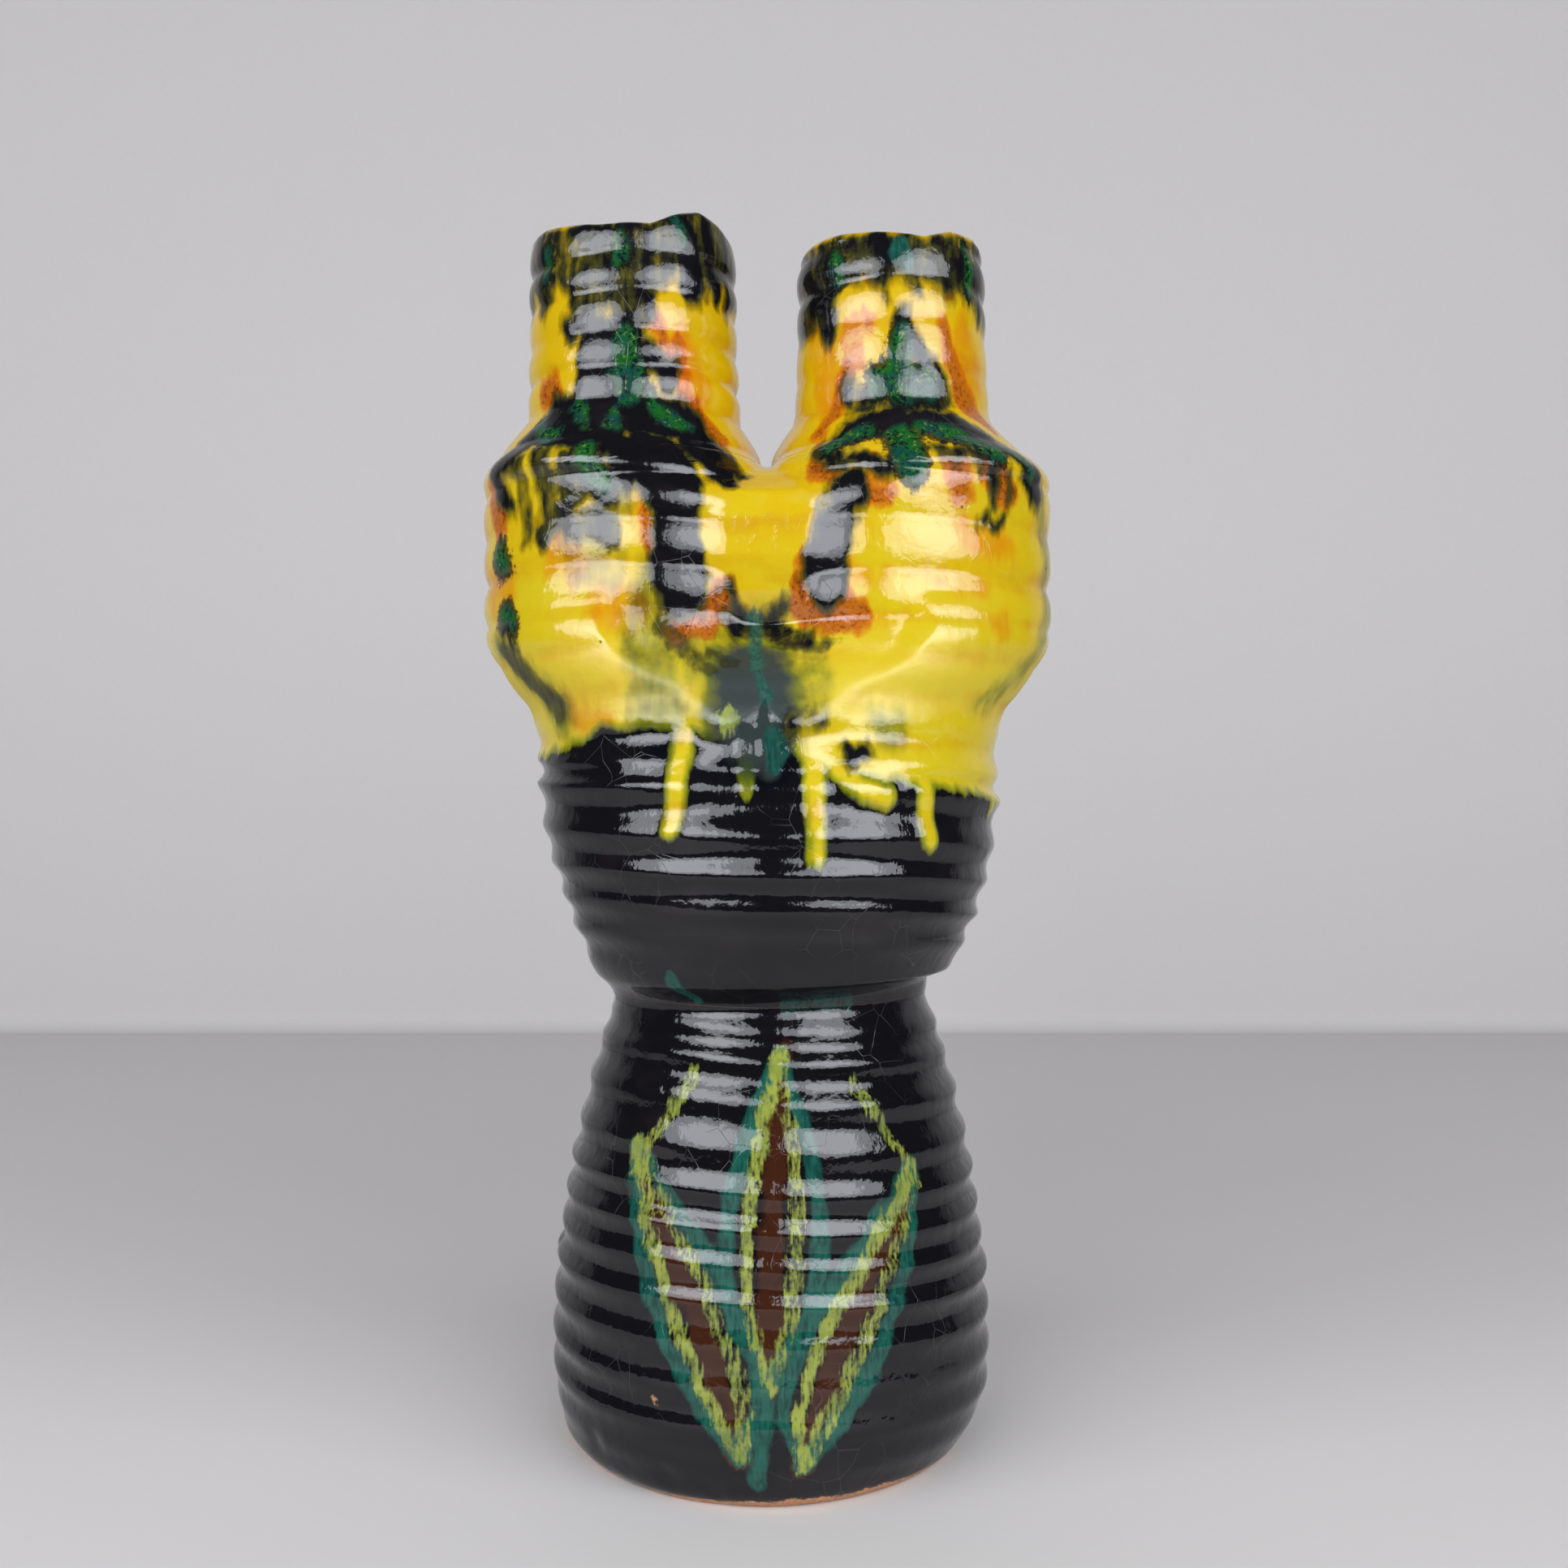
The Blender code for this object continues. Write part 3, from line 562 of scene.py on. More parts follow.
RIGHT_BULB = (
    on_right("dark", 3.2, 3.4, (-37, 240), (-18, 246), (0, 247.5), (22, 247), (44, 241), (60, 233)),
    on_right("green", 2.0, 1.7, (-35, 240.5), (-16, 244.5)),
    on_right("green", 2.2, 2.7, (8, 245), (22, 243.5), (35, 239)),
    on_right("green", 3.8, 3.2, (-3, 242), (-1, 236)),
    on_right("green", 1.6, 1.8, (44, 241), (54, 236)),
    on_right("dark", 1.8, 1.6, (-32, 237.5), (-10, 235), cover=0.8),
    on_right("dark", 1.6, 1.4, (11, 239), (26, 236), cover=0.6),
    on_right("rust", 1.7, 1.4, (-39, 235), (-30, 234)),
    on_right("rust", 1.2, 1.0, (-16, 237), (-12, 234)),
    on_right("rust", 2.7, 2.2, (16, 236), (20, 229)),
    on_right("rust", 2.6, 2.0, (30, 236), (43, 228)),
    on_right("dark", 1.1, 0.8, (33, 235), (36, 227), cover=0.3),
    on_right("dark", 1.1, 0.8, (41, 233), (44, 226), cover=0.3),
    on_right("rust", 1.3, 1.1, (-15, 229.5), (-8, 228)),
    on_right("dark", 4.0, 5.0, (-22, 229), (-26, 221), (-29, 212), (-29.5, 208.5)),
    on_right("rust", 1.9, 1.6, (-23, 230), (-24, 227)),
    on_right("rust", 1.6, 1.4, (-36, 211), (-26, 209)),
    on_right("rust", 3.0, 2.8, (-37, 203), (-29, 201.5), (-20, 199.5)),
    on_right("dark", 2.6, 1.8, (-51, 199), (-42, 195.5), (-32, 194), cover=0.5),
    on_right("dark", 1.2, 1.0, (-31, 193.5), (-24, 193), cover=-0.2),
    on_right("haze", 2.4, 2.4, (64, 232), (74, 218), (74, 204), (66, 190), (56, 180), cover=0.6),
    on_right("dark", 0.8, 0.7, (31, 223), (37, 222.4), (41, 223), cover=0.5),
    on_right("amber", 2.0, 2.0, (24, 219.5), (44, 217), cover=0.6),
    on_right("amber", 1.6, 1.6, (-22, 209), (30, 207.5), cover=0.3),
    on_right("amber", 1.6, 1.6, (-18, 200), (40, 199), cover=0.2),
)

MIDDLE = (
    on_body("haze", 12.0, 13.0, (-5, 187), (-3, 178)),
    on_body("haze", 4.0, 4.0, (-6, 196), (-7, 190), cover=2.0),
    on_body("haze", 3.6, 4.0, (15, 193), (13, 180), cover=0.2),
    on_body("teal", 1.9, 1.7, (-5, 200), (-3, 188), cover=0.5),
    on_body("teal", 1.5, 2.6, (-2, 186), (3, 168.5), cover=0.3),
    on_body("dark", 0.9, 1.1, (-16, 205), (-7, 199)),
    on_body("dark", 0.9, 1.1, (8, 204), (-2, 198)),
    on_body("lime", 2.1, 1.9, (-10, 176.5), (-10, 174.5)),
    on_body("dark", 1.7, 1.5, (7, 175), (8, 174)),
    on_body("dark", 1.0, 0.9, (14, 175.5), (15, 175)),
    on_body("dark", 2.0, 2.0, (23.5, 168), (26, 168)),
    on_body("haze", 3.0, 3.0, (32, 174), (35, 173), cover=1.4),
)

WAIST = (
    on_body("teal", 1.8, 1.3, (-30, 115), (-24, 111), cover=0.4),
    on_body("teal", 1.3, 1.1, (6, 110), (16, 111.5), (28, 110), cover=-0.1),
    on_body("bare", 0.9, 0.9, (-29, 23), (-28.6, 22.8)),
)


def leaf(turn, bottom, top, lean, width):
    """One brushed leaf: bold teal edges, feathered lime ones inside them and a rust heart."""
    shares = np.linspace(0.0, 1.0, 7)
    turns = turn + lean * shares**1.4
    levels = bottom + (top - bottom) * shares
    spread = width * np.sin(math.pi * shares**0.85) ** 0.8

    def edge(colour, inset, start, end, cover):
        points = zip(turns + inset * spread, levels)
        return on_body(colour, start, end, *points, cover=cover)

    return [
        edge("teal", -1.0, 1.6, 2.4, 0.9),
        edge("teal", 1.0, 2.4, 1.4, 0.7),
        edge("lime", -0.55, 1.2, 1.9, 0.5),
        edge("lime", 0.5, 1.8, 1.1, 0.1),
        edge("rust", 0.0, width * 0.24, width * 0.2, 0.6),
    ]


def spray():
    """A spray of three leaves brushed on the front of the foot, with its stem and two tendrils."""
    return [
        *leaf(0, 30, 99, 3, 12),
        *leaf(-7, 14, 78, -33, 11),
        *leaf(8, 12, 72, 34, 11),
        on_body("teal", 2.2, 1.2, (-3, 8), (-1, 20), (0, 32), cover=0.8),
        on_body("lime", 1.6, 0.9, (-24, 94), (-31, 84), (-40, 72), cover=0.3),
        on_body("lime", 1.6, 0.9, (26, 92), (34, 82), (43, 69), cover=0.1),
    ]


def back_dabs(seed):
    """Dabs and runs round the back of the necks and bulbs, where rims and shoulders carry on."""
    chance = np.random.default_rng(seed)
    strokes = []
    for brush, mirror in ((on_left, -1.0), (on_right, 1.0)):
        for turn in mirror * np.arange(88.0, 245.0, 15.0):
            top = 293.0 + chance.uniform(-2.0, 1.0)
            colour = ("dark", "dark", "green", "rust")[chance.integers(4)]
            drop = chance.uniform(8, 16)
            low = 246.0 + chance.uniform(-3.0, 2.0)
            sag = chance.uniform(3, 7)
            strokes += [
                brush("dark", 3.4, 2.0, (turn, top), (turn + 3, top - drop)),
                brush(colour, 2.2, 1.6, (turn + 5, top - 2), (turn + 6, top - 6)),
                brush("dark", 4.4, 3.0, (turn, low), (turn + 8, low - sag)),
                brush(colour, 2.6, 2.0, (turn + 6, low - 1), (turn + 8, low - 4)),
            ]
        for turn in mirror * np.array((104.0, 148.0, 196.0)):
            strokes += [
                brush("dark", 3.6, 5.2, (turn, 262), (turn + 4, 240), (turn - 3, 214)),
                brush("green", 2.2, 2.8, (turn + 2, 252), (turn + 2, 243)),
                brush("rust", 2.8, 2.2, (turn - 4, 212), (turn - 2, 204)),
                brush("haze", 4.0, 5.0, (turn - 2, 204), (turn - 1, 180), cover=0.4),
                brush("amber", 4.0, 3.0, (turn + 20, 226), (turn + 26, 214), cover=0.4),
            ]
    strokes += [
        on_body("teal", 1.6, 2.8, (180, 198), (178, 170)),
        on_body("dark", 4.6, 4.2, (180, 196), (176, 176), cover=0.6),
        on_body("haze", 9.0, 9.0, (180, 192), (177, 176), cover=1.0),
    ]
    return strokes


def stroke_axis(name, z):
    """Where the axis that a stroke's turns are counted from stands, at these heights."""
    if name == "left":
        return lobe_axis(z, LEFT)
    if name == "right":
        return lobe_axis(z, RIGHT)
    return body_axis(z)


def lay(strokes, skin):
    """Each stroke with its points brought onto the skin."""
    laid = []
    for item in strokes:
        turn, z = np.array(item.points, float).T
        turn = np.radians(turn)
        axis = stroke_axis(item.axis, z)
        limit = FAR_REACH if item.axis == "body" else seam_reach(axis, turn)
        laid.append((item, skin_points(axis, turn, z, skin, limit)))
    return laid


def ripple(points, pitch, seed):
    """Smooth noise over points, from about -1 to 1, with waves about a pitch long."""
    chance = np.random.default_rng(seed)
    total = np.zeros(len(points))
    for _ in range(RIPPLE_WAVES):
        way = chance.normal(size=3)
        way *= 2.0 * math.pi / (np.linalg.norm(way) * pitch * chance.uniform(0.7, 1.6))
        total += np.sin(points @ way + chance.uniform(0.0, 2.0 * math.pi))
    return total / math.sqrt(RIPPLE_WAVES)


def creep(points):
    """How far the glaze at each point has come: streaks down the wall, and wander across it."""
    streaks = points * (1.0, 1.0, STREAK_STRETCH)
    moved = np.zeros_like(points)
    distance, pitch, seed = CREEP_ACROSS
    moved[:, 0] = distance * ripple(points, pitch, seed)
    for distance, pitch, seed in CREEP_DOWN:
        moved[:, 2] += distance * ripple(streaks, pitch, seed)
    return moved


def stretched(points):
    """Points with their heights drawn together, so that glaze spreads further down than across."""
    return points * (1.0, 1.0, STROKE_STRETCH)


def stroke_cover(points, item, path):
    """How deep each point lies inside a stroke, in millimetres: negative outside it."""
    best = np.full(len(points), UNTOUCHED)
    path = stretched(path)
    widths = np.linspace(item.start, item.end, len(path))
    for start, end, wide, narrow in zip(path, path[1:], widths, widths[1:]):
        run = end - start
        share = np.clip((points - start) @ run / max(run @ run, 1e-9), 0.0, 1.0)
        away = np.linalg.norm(points - start - share[:, None] * run, axis=1)
        best = np.maximum(best, wide + (narrow - wide) * share - away)
    return np.minimum(best, item.cover)


def rim_cover(x, y, z):
    """How deep points lie in the dark glaze round the rims."""
    covers = []
    for side in (LEFT, RIGHT):
        turn = np.degrees(np.arctan2(x - lobe_axis(z, side), -y))
        lower = (z - along(turn, RIM_EDGES[side])) * RIM_SLOPE
        upper = along(turn, RIM_HEIGHTS[side]) - along(turn, LIP_GAPS[side]) - z
        covers.append(np.minimum(lower, upper))
    return np.clip(np.where(x < SEAM, *covers), UNTOUCHED, RIM_COVER)


def glaze_cover(points, laid):
    """How deep each point of the skin lies in each glaze, one column for each of COLOURS."""
    cover = np.full((len(points), len(COLOURS)), UNTOUCHED)
    x, y, z = points.T
    turn = np.degrees(np.arctan2(x - body_axis(z), -y))
    moved = creep(points)
    edge = z + CREEP_SHARES["yellow"] * moved[:, 2] - along(turn, YELLOW_EDGE)
    cover[:, COLOURS.index("yellow")] = np.clip(edge * STROKE_STRETCH, UNTOUCHED, FULL)
    cover[:, COLOURS.index("dark")] = rim_cover(x, y, z)
    cover[:, COLOURS.index("bare")] = BARE_HEIGHT - z + BARE_SWING * np.sin(np.radians(turn) * 3.0 + 0.6)
    places = {item.run: stretched(points + item.run * moved) for item, _ in laid}
    for item, path in laid:
        column = COLOURS.index(item.colour)
        flat = places[item.run]
        margin = max(item.start, item.end) - UNTOUCHED
        low, high = stretched(path).min(axis=0) - margin, stretched(path).max(axis=0) + margin
        near = np.all((flat > low) & (flat < high), axis=1)
        if near.any():
            cover[near, column] = np.maximum(cover[near, column], stroke_cover(flat[near], item, path))
    return cover


def coat(points, normals, cover, skin):
    """Points raised by the thickness of the glaze on them: yellow lies thick, black is the ground."""
    yellow = cover[:, COLOURS.index("yellow")]
    patches = np.maximum(cover[:, COLOURS.index("green")], cover[:, COLOURS.index("dark")])
    raised = smooth(-1.0, 0.0, (yellow + COAT_EDGE) / (2.0 * COAT_EDGE))
    raised = raised + PATCH_LIFT * smooth(0.0, 1.0, (patches + 0.5) / 1.5) - PATCH_LIFT
    return points + normals * (raised * skin.glaze_thickness / MM)[:, None]


def grid_normals(points, before, after):
    """Unit normals of a grid of points, with the neighbouring columns given for its first and last one."""
    wide = np.concatenate((before[:, None], points, after[:, None]), axis=1)
    across = wide[:, 2:] - wide[:, :-2]
    up = np.gradient(points, axis=0)
    normals = np.cross(across, up)
    return normals / np.maximum(np.linalg.norm(normals, axis=2, keepdims=True), 1e-9)


def fold_values(points):
    """For each point, whether it lies on a rib's crest (1) or in a valley (-1)."""
    x, y, z = points.T
    folds = []
    for side in (LEFT, RIGHT):
        turn = np.arctan2(x - lobe_axis(z, side), -y)
        folds.append(np.cos(2.0 * math.pi * rib_count(z, turn, side)))
    return np.where(x < SEAM, *folds)


# A piece's material slots, in the order of vase_materials
GLAZED, CLAY, INSIDE = 0, 1, 2

# Inner walls have one row of points for this many outer ones, and the sole has a narrow ring at its edge
INNER_STRIDE = 8
SOLE_SHARE = 0.97

# The foot's levels crowd towards its lower edge, and the bowl's are closer than the mesh step
FOOT_CROWDING = 0.25
BOWL_ROW_SHARE = 0.75

# The bulbs' levels crowd towards the saddle, and the one on it is lifted clear of the seam
SADDLE_ROWS = 14
SHOULDER_ROWS = 18
LEVEL_CROWDING = 1.35
SADDLE_LIFT = 0.001

# Rows over a neck's lip and down its bore, and how many of those the outer glaze covers
LIP_STEPS = 10
BORE_STEPS = 9
BORE_GLAZED_ROWS = 3


class Shell:
    """A closed mesh in the making: grids of points with normals and glaze, and the faces between them."""

    def __init__(self):
        self.points = []
        self.normals = []
        self.cover = []
        self.faces = []
        self.slots = []
        self.count = 0

    def add(self, points, normals, cover=None):
        """Adds a grid of points and gives their numbers back."""
        flat = points.reshape(-1, 3)
        self.points.append(flat)
        self.normals.append(normals.reshape(-1, 3))
        if cover is None:
            cover = np.full((len(flat), len(COLOURS)), UNTOUCHED)
        self.cover.append(cover.reshape(-1, len(COLOURS)))
        numbers = np.arange(self.count, self.count + len(flat)).reshape(points.shape[:2])
        self.count += len(flat)
        return numbers

    def weave(self, first, second, slot, turned):
        """Faces between two rows of point numbers, seen from where they run to the right and up."""
        for a, b, c, d in zip(first[:-1], first[1:], second[1:], second[:-1]):
            corners = (d, c, b, a) if turned else (a, b, c, d)
            corners = tuple(dict.fromkeys(int(corner) for corner in corners))
            if len(corners) > 2:
                self.faces.append(corners)
                self.slots.append(slot)

    def cover_grid(self, numbers, slot, turned):
        """Faces over a whole grid."""
        for first, second in zip(numbers, numbers[1:]):
            self.weave(first, second, slot, turned)

    def fan(self, row, middle, slot, turned):
        """Faces from a closed row to one point."""
        for a, b in zip(row[:-1], row[1:]):
            self.faces.append((int(b), int(a), int(middle)) if turned else (int(a), int(b), int(middle)))
            self.slots.append(slot)

    def make(self, name, materials):
        """The finished piece."""
        points = np.concatenate(self.points) * MM
        mesh = bpy.data.meshes.new(name)
        mesh.from_pydata(points.tolist(), [], self.faces)
        for material in materials:
            mesh.materials.append(material)
        mesh.polygons.foreach_set("material_index", self.slots)
        mesh.shade_smooth()
        cover = np.concatenate(self.cover).astype(np.float32)
        for layer, columns in zip(LAYERS, np.split(cover, len(LAYERS), axis=1)):
            attribute = mesh.attributes.new(layer, "FLOAT_VECTOR", "POINT")
            attribute.data.foreach_set("vector", np.ascontiguousarray(columns).ravel())
        fold = mesh.attributes.new("rib_fold", "FLOAT", "POINT")
        fold.data.foreach_set("value", fold_values(points / MM).astype(np.float32))
        mesh.normals_split_custom_set_from_vertices(np.concatenate(self.normals).tolist())
        mesh.update()
        piece = bpy.data.objects.new(name, mesh)
        bpy.context.scene.collection.objects.link(piece)
        return piece


def dressed(points, normals, laid, skin):
    """A grid of skin points with its glaze: the raised points and how deep they lie in each glaze."""
    flat = points.reshape(-1, 3)
    cover = glaze_cover(flat, laid)
    raised = coat(flat, normals.reshape(-1, 3), cover, skin)
    return raised.reshape(points.shape), cover.reshape(*points.shape[:2], -1)


def dressed_rings(points, laid, skin):
    """A grid whose rows are closed rings, with its glaze: raised points, their normals and their cover."""

    def normals():
        return grid_normals(points, points[:, -1], points[:, 0])

    points, cover = dressed(points, normals(), laid, skin)
    return points, normals(), cover


def closed_columns(numbers):
    """A grid of point numbers with its first column again at the end."""
    return np.concatenate((numbers, numbers[:, :1]), axis=1)


def round_grid(levels, columns, laid, skin):
    """Skin points, normals and glaze of a round section at these levels, without the two ghost levels."""
    step = levels[1] - levels[0]
    z = np.concatenate(([levels[0] - step], levels, [levels[-1] + step]))[:, None]
    turn = np.linspace(-math.pi, math.pi, columns, endpoint=False)[None, :]
    points = skin_points(body_axis(z), turn, z, skin)
    return [grid[1:-1] for grid in dressed_rings(points, laid, skin)]


def shrunk(points, axis, wall):
    """Points moved in towards an upright axis by a wall's thickness."""
    inner = points.copy()
    x = points[..., 0] - axis
    y = points[..., 1]
    reach = np.hypot(x, y)
    share = np.maximum(reach - wall, 0.5) / np.maximum(reach, 1.0)
    inner[..., 0] = axis + x * share
    inner[..., 1] = y * share
    return inner


def mesh_foot(skin, laid, materials):
    """The foot: ribbed wall, underside, floor and inner wall."""
    shell = Shell()
    step = skin.mesh_step / MM
    rows = int(WAIST_LEVEL / step)
    share = np.linspace(0.0, 1.0, rows)
    levels = WAIST_LEVEL * (FOOT_CROWDING * share**2 + (1.0 - FOOT_CROWDING) * share)
    columns = int(2.0 * math.pi * FOOT_BELLY_RADIUS / step)
    points, normals, cover = round_grid(levels, columns, laid, skin)
    points[0, :, 2] = 0.0
    outer = closed_columns(shell.add(points, normals, cover))
    shell.cover_grid(outer, GLAZED, False)
    under = points[:1].copy()
    under[..., :2] *= SOLE_SHARE
    downward = np.full((2, columns, 3), (0.0, 0.0, -1.0))
    sole = closed_columns(shell.add(np.concatenate((points[:1], under)), downward))
    shell.cover_grid(sole, CLAY, True)
    shell.weave(outer[0], sole[0], CLAY, True)
    centre = shell.add(np.zeros((1, 1, 3)), downward[:1, :1])
    shell.fan(sole[1], centre[0, 0], CLAY, True)
    floor = skin.floor / MM
    keep = np.flatnonzero(levels > floor)[::INNER_STRIDE]
    keep = np.append(keep[:-1], rows - 1)
    inner_points = shrunk(points[keep], body_axis(points[keep][..., 2]), skin.wall / MM)
    inner_points[0, :, 2] = floor
    inner = closed_columns(shell.add(inner_points, -normals[keep]))
    shell.cover_grid(inner, INSIDE, True)
    shell.weave(outer[-1], inner[-1], CLAY, False)
    middle = shell.add(np.array([[[0.0, 0.0, floor]]]), -downward[:1, :1])
    shell.fan(inner[0], middle[0, 0], INSIDE, False)
    return shell.make("foot_skin", materials)


def mesh_bowl(skin, laid, materials):
    """The bowl: ribbed wall from the waist to the belt, and its inner wall."""
    shell = Shell()
    step = skin.mesh_step / MM
    rows = int((BELT_LEVEL - WAIST_LEVEL) / (step * BOWL_ROW_SHARE))
    levels = np.linspace(WAIST_LEVEL, BELT_LEVEL, rows)
    columns = int(2.0 * math.pi * BELT_HALF_WIDTH / step)
    points, normals, cover = round_grid(levels, columns, laid, skin)
    outer = closed_columns(shell.add(points, normals, cover))
    shell.cover_grid(outer, GLAZED, False)
    keep = np.append(np.arange(0, rows - 1, INNER_STRIDE), rows - 1)
    inner_points = shrunk(points[keep], body_axis(points[keep][..., 2]), skin.wall / MM)
    inner = closed_columns(shell.add(inner_points, -normals[keep]))
    shell.cover_grid(inner, INSIDE, True)
    shell.weave(outer[0], inner[0], CLAY, True)
    shell.weave(outer[-1], inner[-1], CLAY, False)
    return shell.make("bowl_skin", materials)


def lobe_grid(levels, columns, side, laid, skin):
    """Skin points, normals and glaze of one lobe: half loops below the saddle, whole ones above it."""
    low, high = levels[1] - levels[0], levels[-1] - levels[-2]
    z = np.concatenate(([levels[0] - low], levels, [levels[-1] + high]))
    axis = lobe_axis(z, side)
    seam = seam_depth(z, skin)
    start = np.arctan2(seam, np.abs(SEAM - axis))
    share = np.linspace(0.0, 1.0, columns)
    sweep = start[:, None] + (2.0 * math.pi - 2.0 * start[:, None]) * share
    turn = side * (sweep - math.pi / 2)
    points = skin_points(axis[:, None], turn, z[:, None], skin, seam_reach(axis[:, None], turn))
    parted = seam > 0.0
    for column, front in ((0, -1.0), (-1, 1.0)):
        points[parted, column, 0] = SEAM
        points[parted, column, 1] = front * seam[parted]
    closed = ~parted
    points[closed, -1] = points[closed, 0]

    def wall_normals():
        before, after = points[:, 1].copy(), points[:, -2].copy()
        before[parted, 0] = 2.0 * SEAM - before[parted, 0]
        after[parted, 0] = 2.0 * SEAM - after[parted, 0]
        before[closed], after[closed] = points[closed, -2], points[closed, 1]
        normals = side * grid_normals(points, before, after)
        normals[closed, -1] = normals[closed, 0]
        return normals

    points, cover = dressed(points, wall_normals(), laid, skin)
    points[parted, 0, 0] = points[parted, -1, 0] = SEAM
    points[closed, -1] = points[closed, 0]
    normals = wall_normals()
    top = np.flatnonzero(closed)[0]
    normals[top, (0, -1)] = (0.0, 0.0, 1.0)
    return [grid[1:-1] for grid in (points, normals, cover, closed)]


def mesh_bulb(name, side, skin, laid, materials):
    """One bulb: from the belt up over the shoulder to the collar, open to the other one at the seam."""
    shell = Shell()
    step = skin.mesh_step / MM
    saddle = saddle_level(skin)
    rows = int((saddle - BELT_LEVEL) / step) + SADDLE_ROWS
    lower = saddle - (saddle - BELT_LEVEL) * (1.0 - np.linspace(0.0, 1.0, rows)) ** LEVEL_CROWDING
    upper = saddle + (COLLAR_LEVEL - saddle) * np.linspace(0.0, 1.0, SHOULDER_ROWS)[1:] ** LEVEL_CROWDING
    lower[-1] += SADDLE_LIFT
    levels = np.concatenate((lower, upper))
    columns = int(2.0 * math.pi * BULB_RADIUS / step)
    points, normals, cover, closed = lobe_grid(levels, columns, side, laid, skin)
    flip = side == LEFT
    outer = shell.add(points, normals, cover)
    outer[closed, -1] = outer[closed, 0]
    shell.cover_grid(outer, GLAZED, flip)
    first = int(np.flatnonzero(closed)[0])
    last = len(levels) - 1
    stride = INNER_STRIDE // 2
    keep = (*range(0, first, INNER_STRIDE), first - 1, first, *range(first + stride, last, stride), last)
    keep = np.unique(keep)
    axis = lobe_axis(points[..., 2], side)
    inner_points = shrunk(points, axis, skin.wall / MM)
    inner = shell.add(inner_points, -normals)
    inner[closed, -1] = inner[closed, 0]
    shell.cover_grid(inner[keep], INSIDE, not flip)
    shell.weave(outer[0], inner[0], CLAY, not flip)
    shell.weave(outer[-1], inner[-1], CLAY, flip)
    for column, turned in ((0, not flip), (-1, flip)):
        shell.weave(outer[: first + 1, column], inner[: first + 1, column], CLAY, turned)
    return shell.make(name, materials)


def mesh_neck(name, side, skin, laid, materials):
    """One neck: ribbed wall, a rounded lip at an uneven height, and the bore."""
    shell = Shell()
    step = skin.mesh_step / MM
    rows = int((RIM_LEVEL - COLLAR_LEVEL) / step)
    columns = int(2.0 * math.pi * NECK_RADIUS[side] / step)
    turn = np.linspace(-math.pi, math.pi, columns, endpoint=False)
    rim = along(np.degrees(turn), RIM_HEIGHTS[side]) - LIP_RADIUS
    share = np.linspace(-1.0 / rows, 1.0, rows + 2)[:, None]
    z = COLLAR_LEVEL + (rim[None, :] - COLLAR_LEVEL) * share
    axis = lobe_axis(z, side)
    wall = skin_points(axis, turn, z, skin, seam_reach(axis, turn))
    top = wall[-1]
    outward = np.stack((np.sin(turn), -np.cos(turn), np.zeros(columns)), axis=-1)
    middle = top - outward * LIP_RADIUS
    lip = []
    for angle in np.linspace(0.0, math.pi, LIP_STEPS)[1:]:
        upward = np.array((0.0, 0.0, math.sin(angle)))
        lip.append(middle + LIP_RADIUS * (outward * math.cos(angle) + upward))
    bore = []
    for share in np.linspace(0.0, 1.0, BORE_STEPS)[1:]:
        ring = lip[-1].copy()
        ring[:, 2] += (COLLAR_LEVEL - ring[:, 2]) * share
        bore.append(ring)
    points = np.concatenate((wall, np.array(lip), np.array(bore)))
    numbers = shell.add(*(grid[1:] for grid in dressed_rings(points, laid, skin)))
    numbers = closed_columns(numbers)
    glazed = len(wall) - 1 + len(lip) + BORE_GLAZED_ROWS
    shell.cover_grid(numbers[:glazed], GLAZED, False)
    shell.cover_grid(numbers[glazed - 1 :], INSIDE, False)
    shell.weave(numbers[-1], numbers[0], CLAY, False)
    return shell.make(name, materials)


# The glazes whose colours the user sets, and the fixed colours that glazes and clay are mixed with
GLAZE_COLOURS = ("yellow", "lemon", "ochre", "black", "olive", "green", "teal", "rust", "orange", "brown",
                 "lime", "clay")
PALE_YELLOW = (0.66, 0.54, 0.07, 1.0)
WARM_BLACK = (0.012, 0.009, 0.013, 1.0)
POOL_GREY = (0.030, 0.042, 0.042, 1.0)
CRACK_GREY = (0.5, 0.5, 0.5, 1.0)
PALE_CLAY = (0.62, 0.33, 0.17, 1.0)
GRAINY_CLAY = (0.55, 0.27, 0.13, 1.0)
INSIDE_BROWN = (0.07, 0.035, 0.012, 1.0)

# The drier coat low on the bulbs: the heights over which it comes in and goes out, and its roughness
DRY_START = (174.0, 179.0)
DRY_END = (197.0, 190.0)
DRY_ROUGHNESS = 0.34

# How strongly the fine relief of glaze and clay shows
GLAZE_BUMP = 0.7
CLAY_BUMP = 0.3


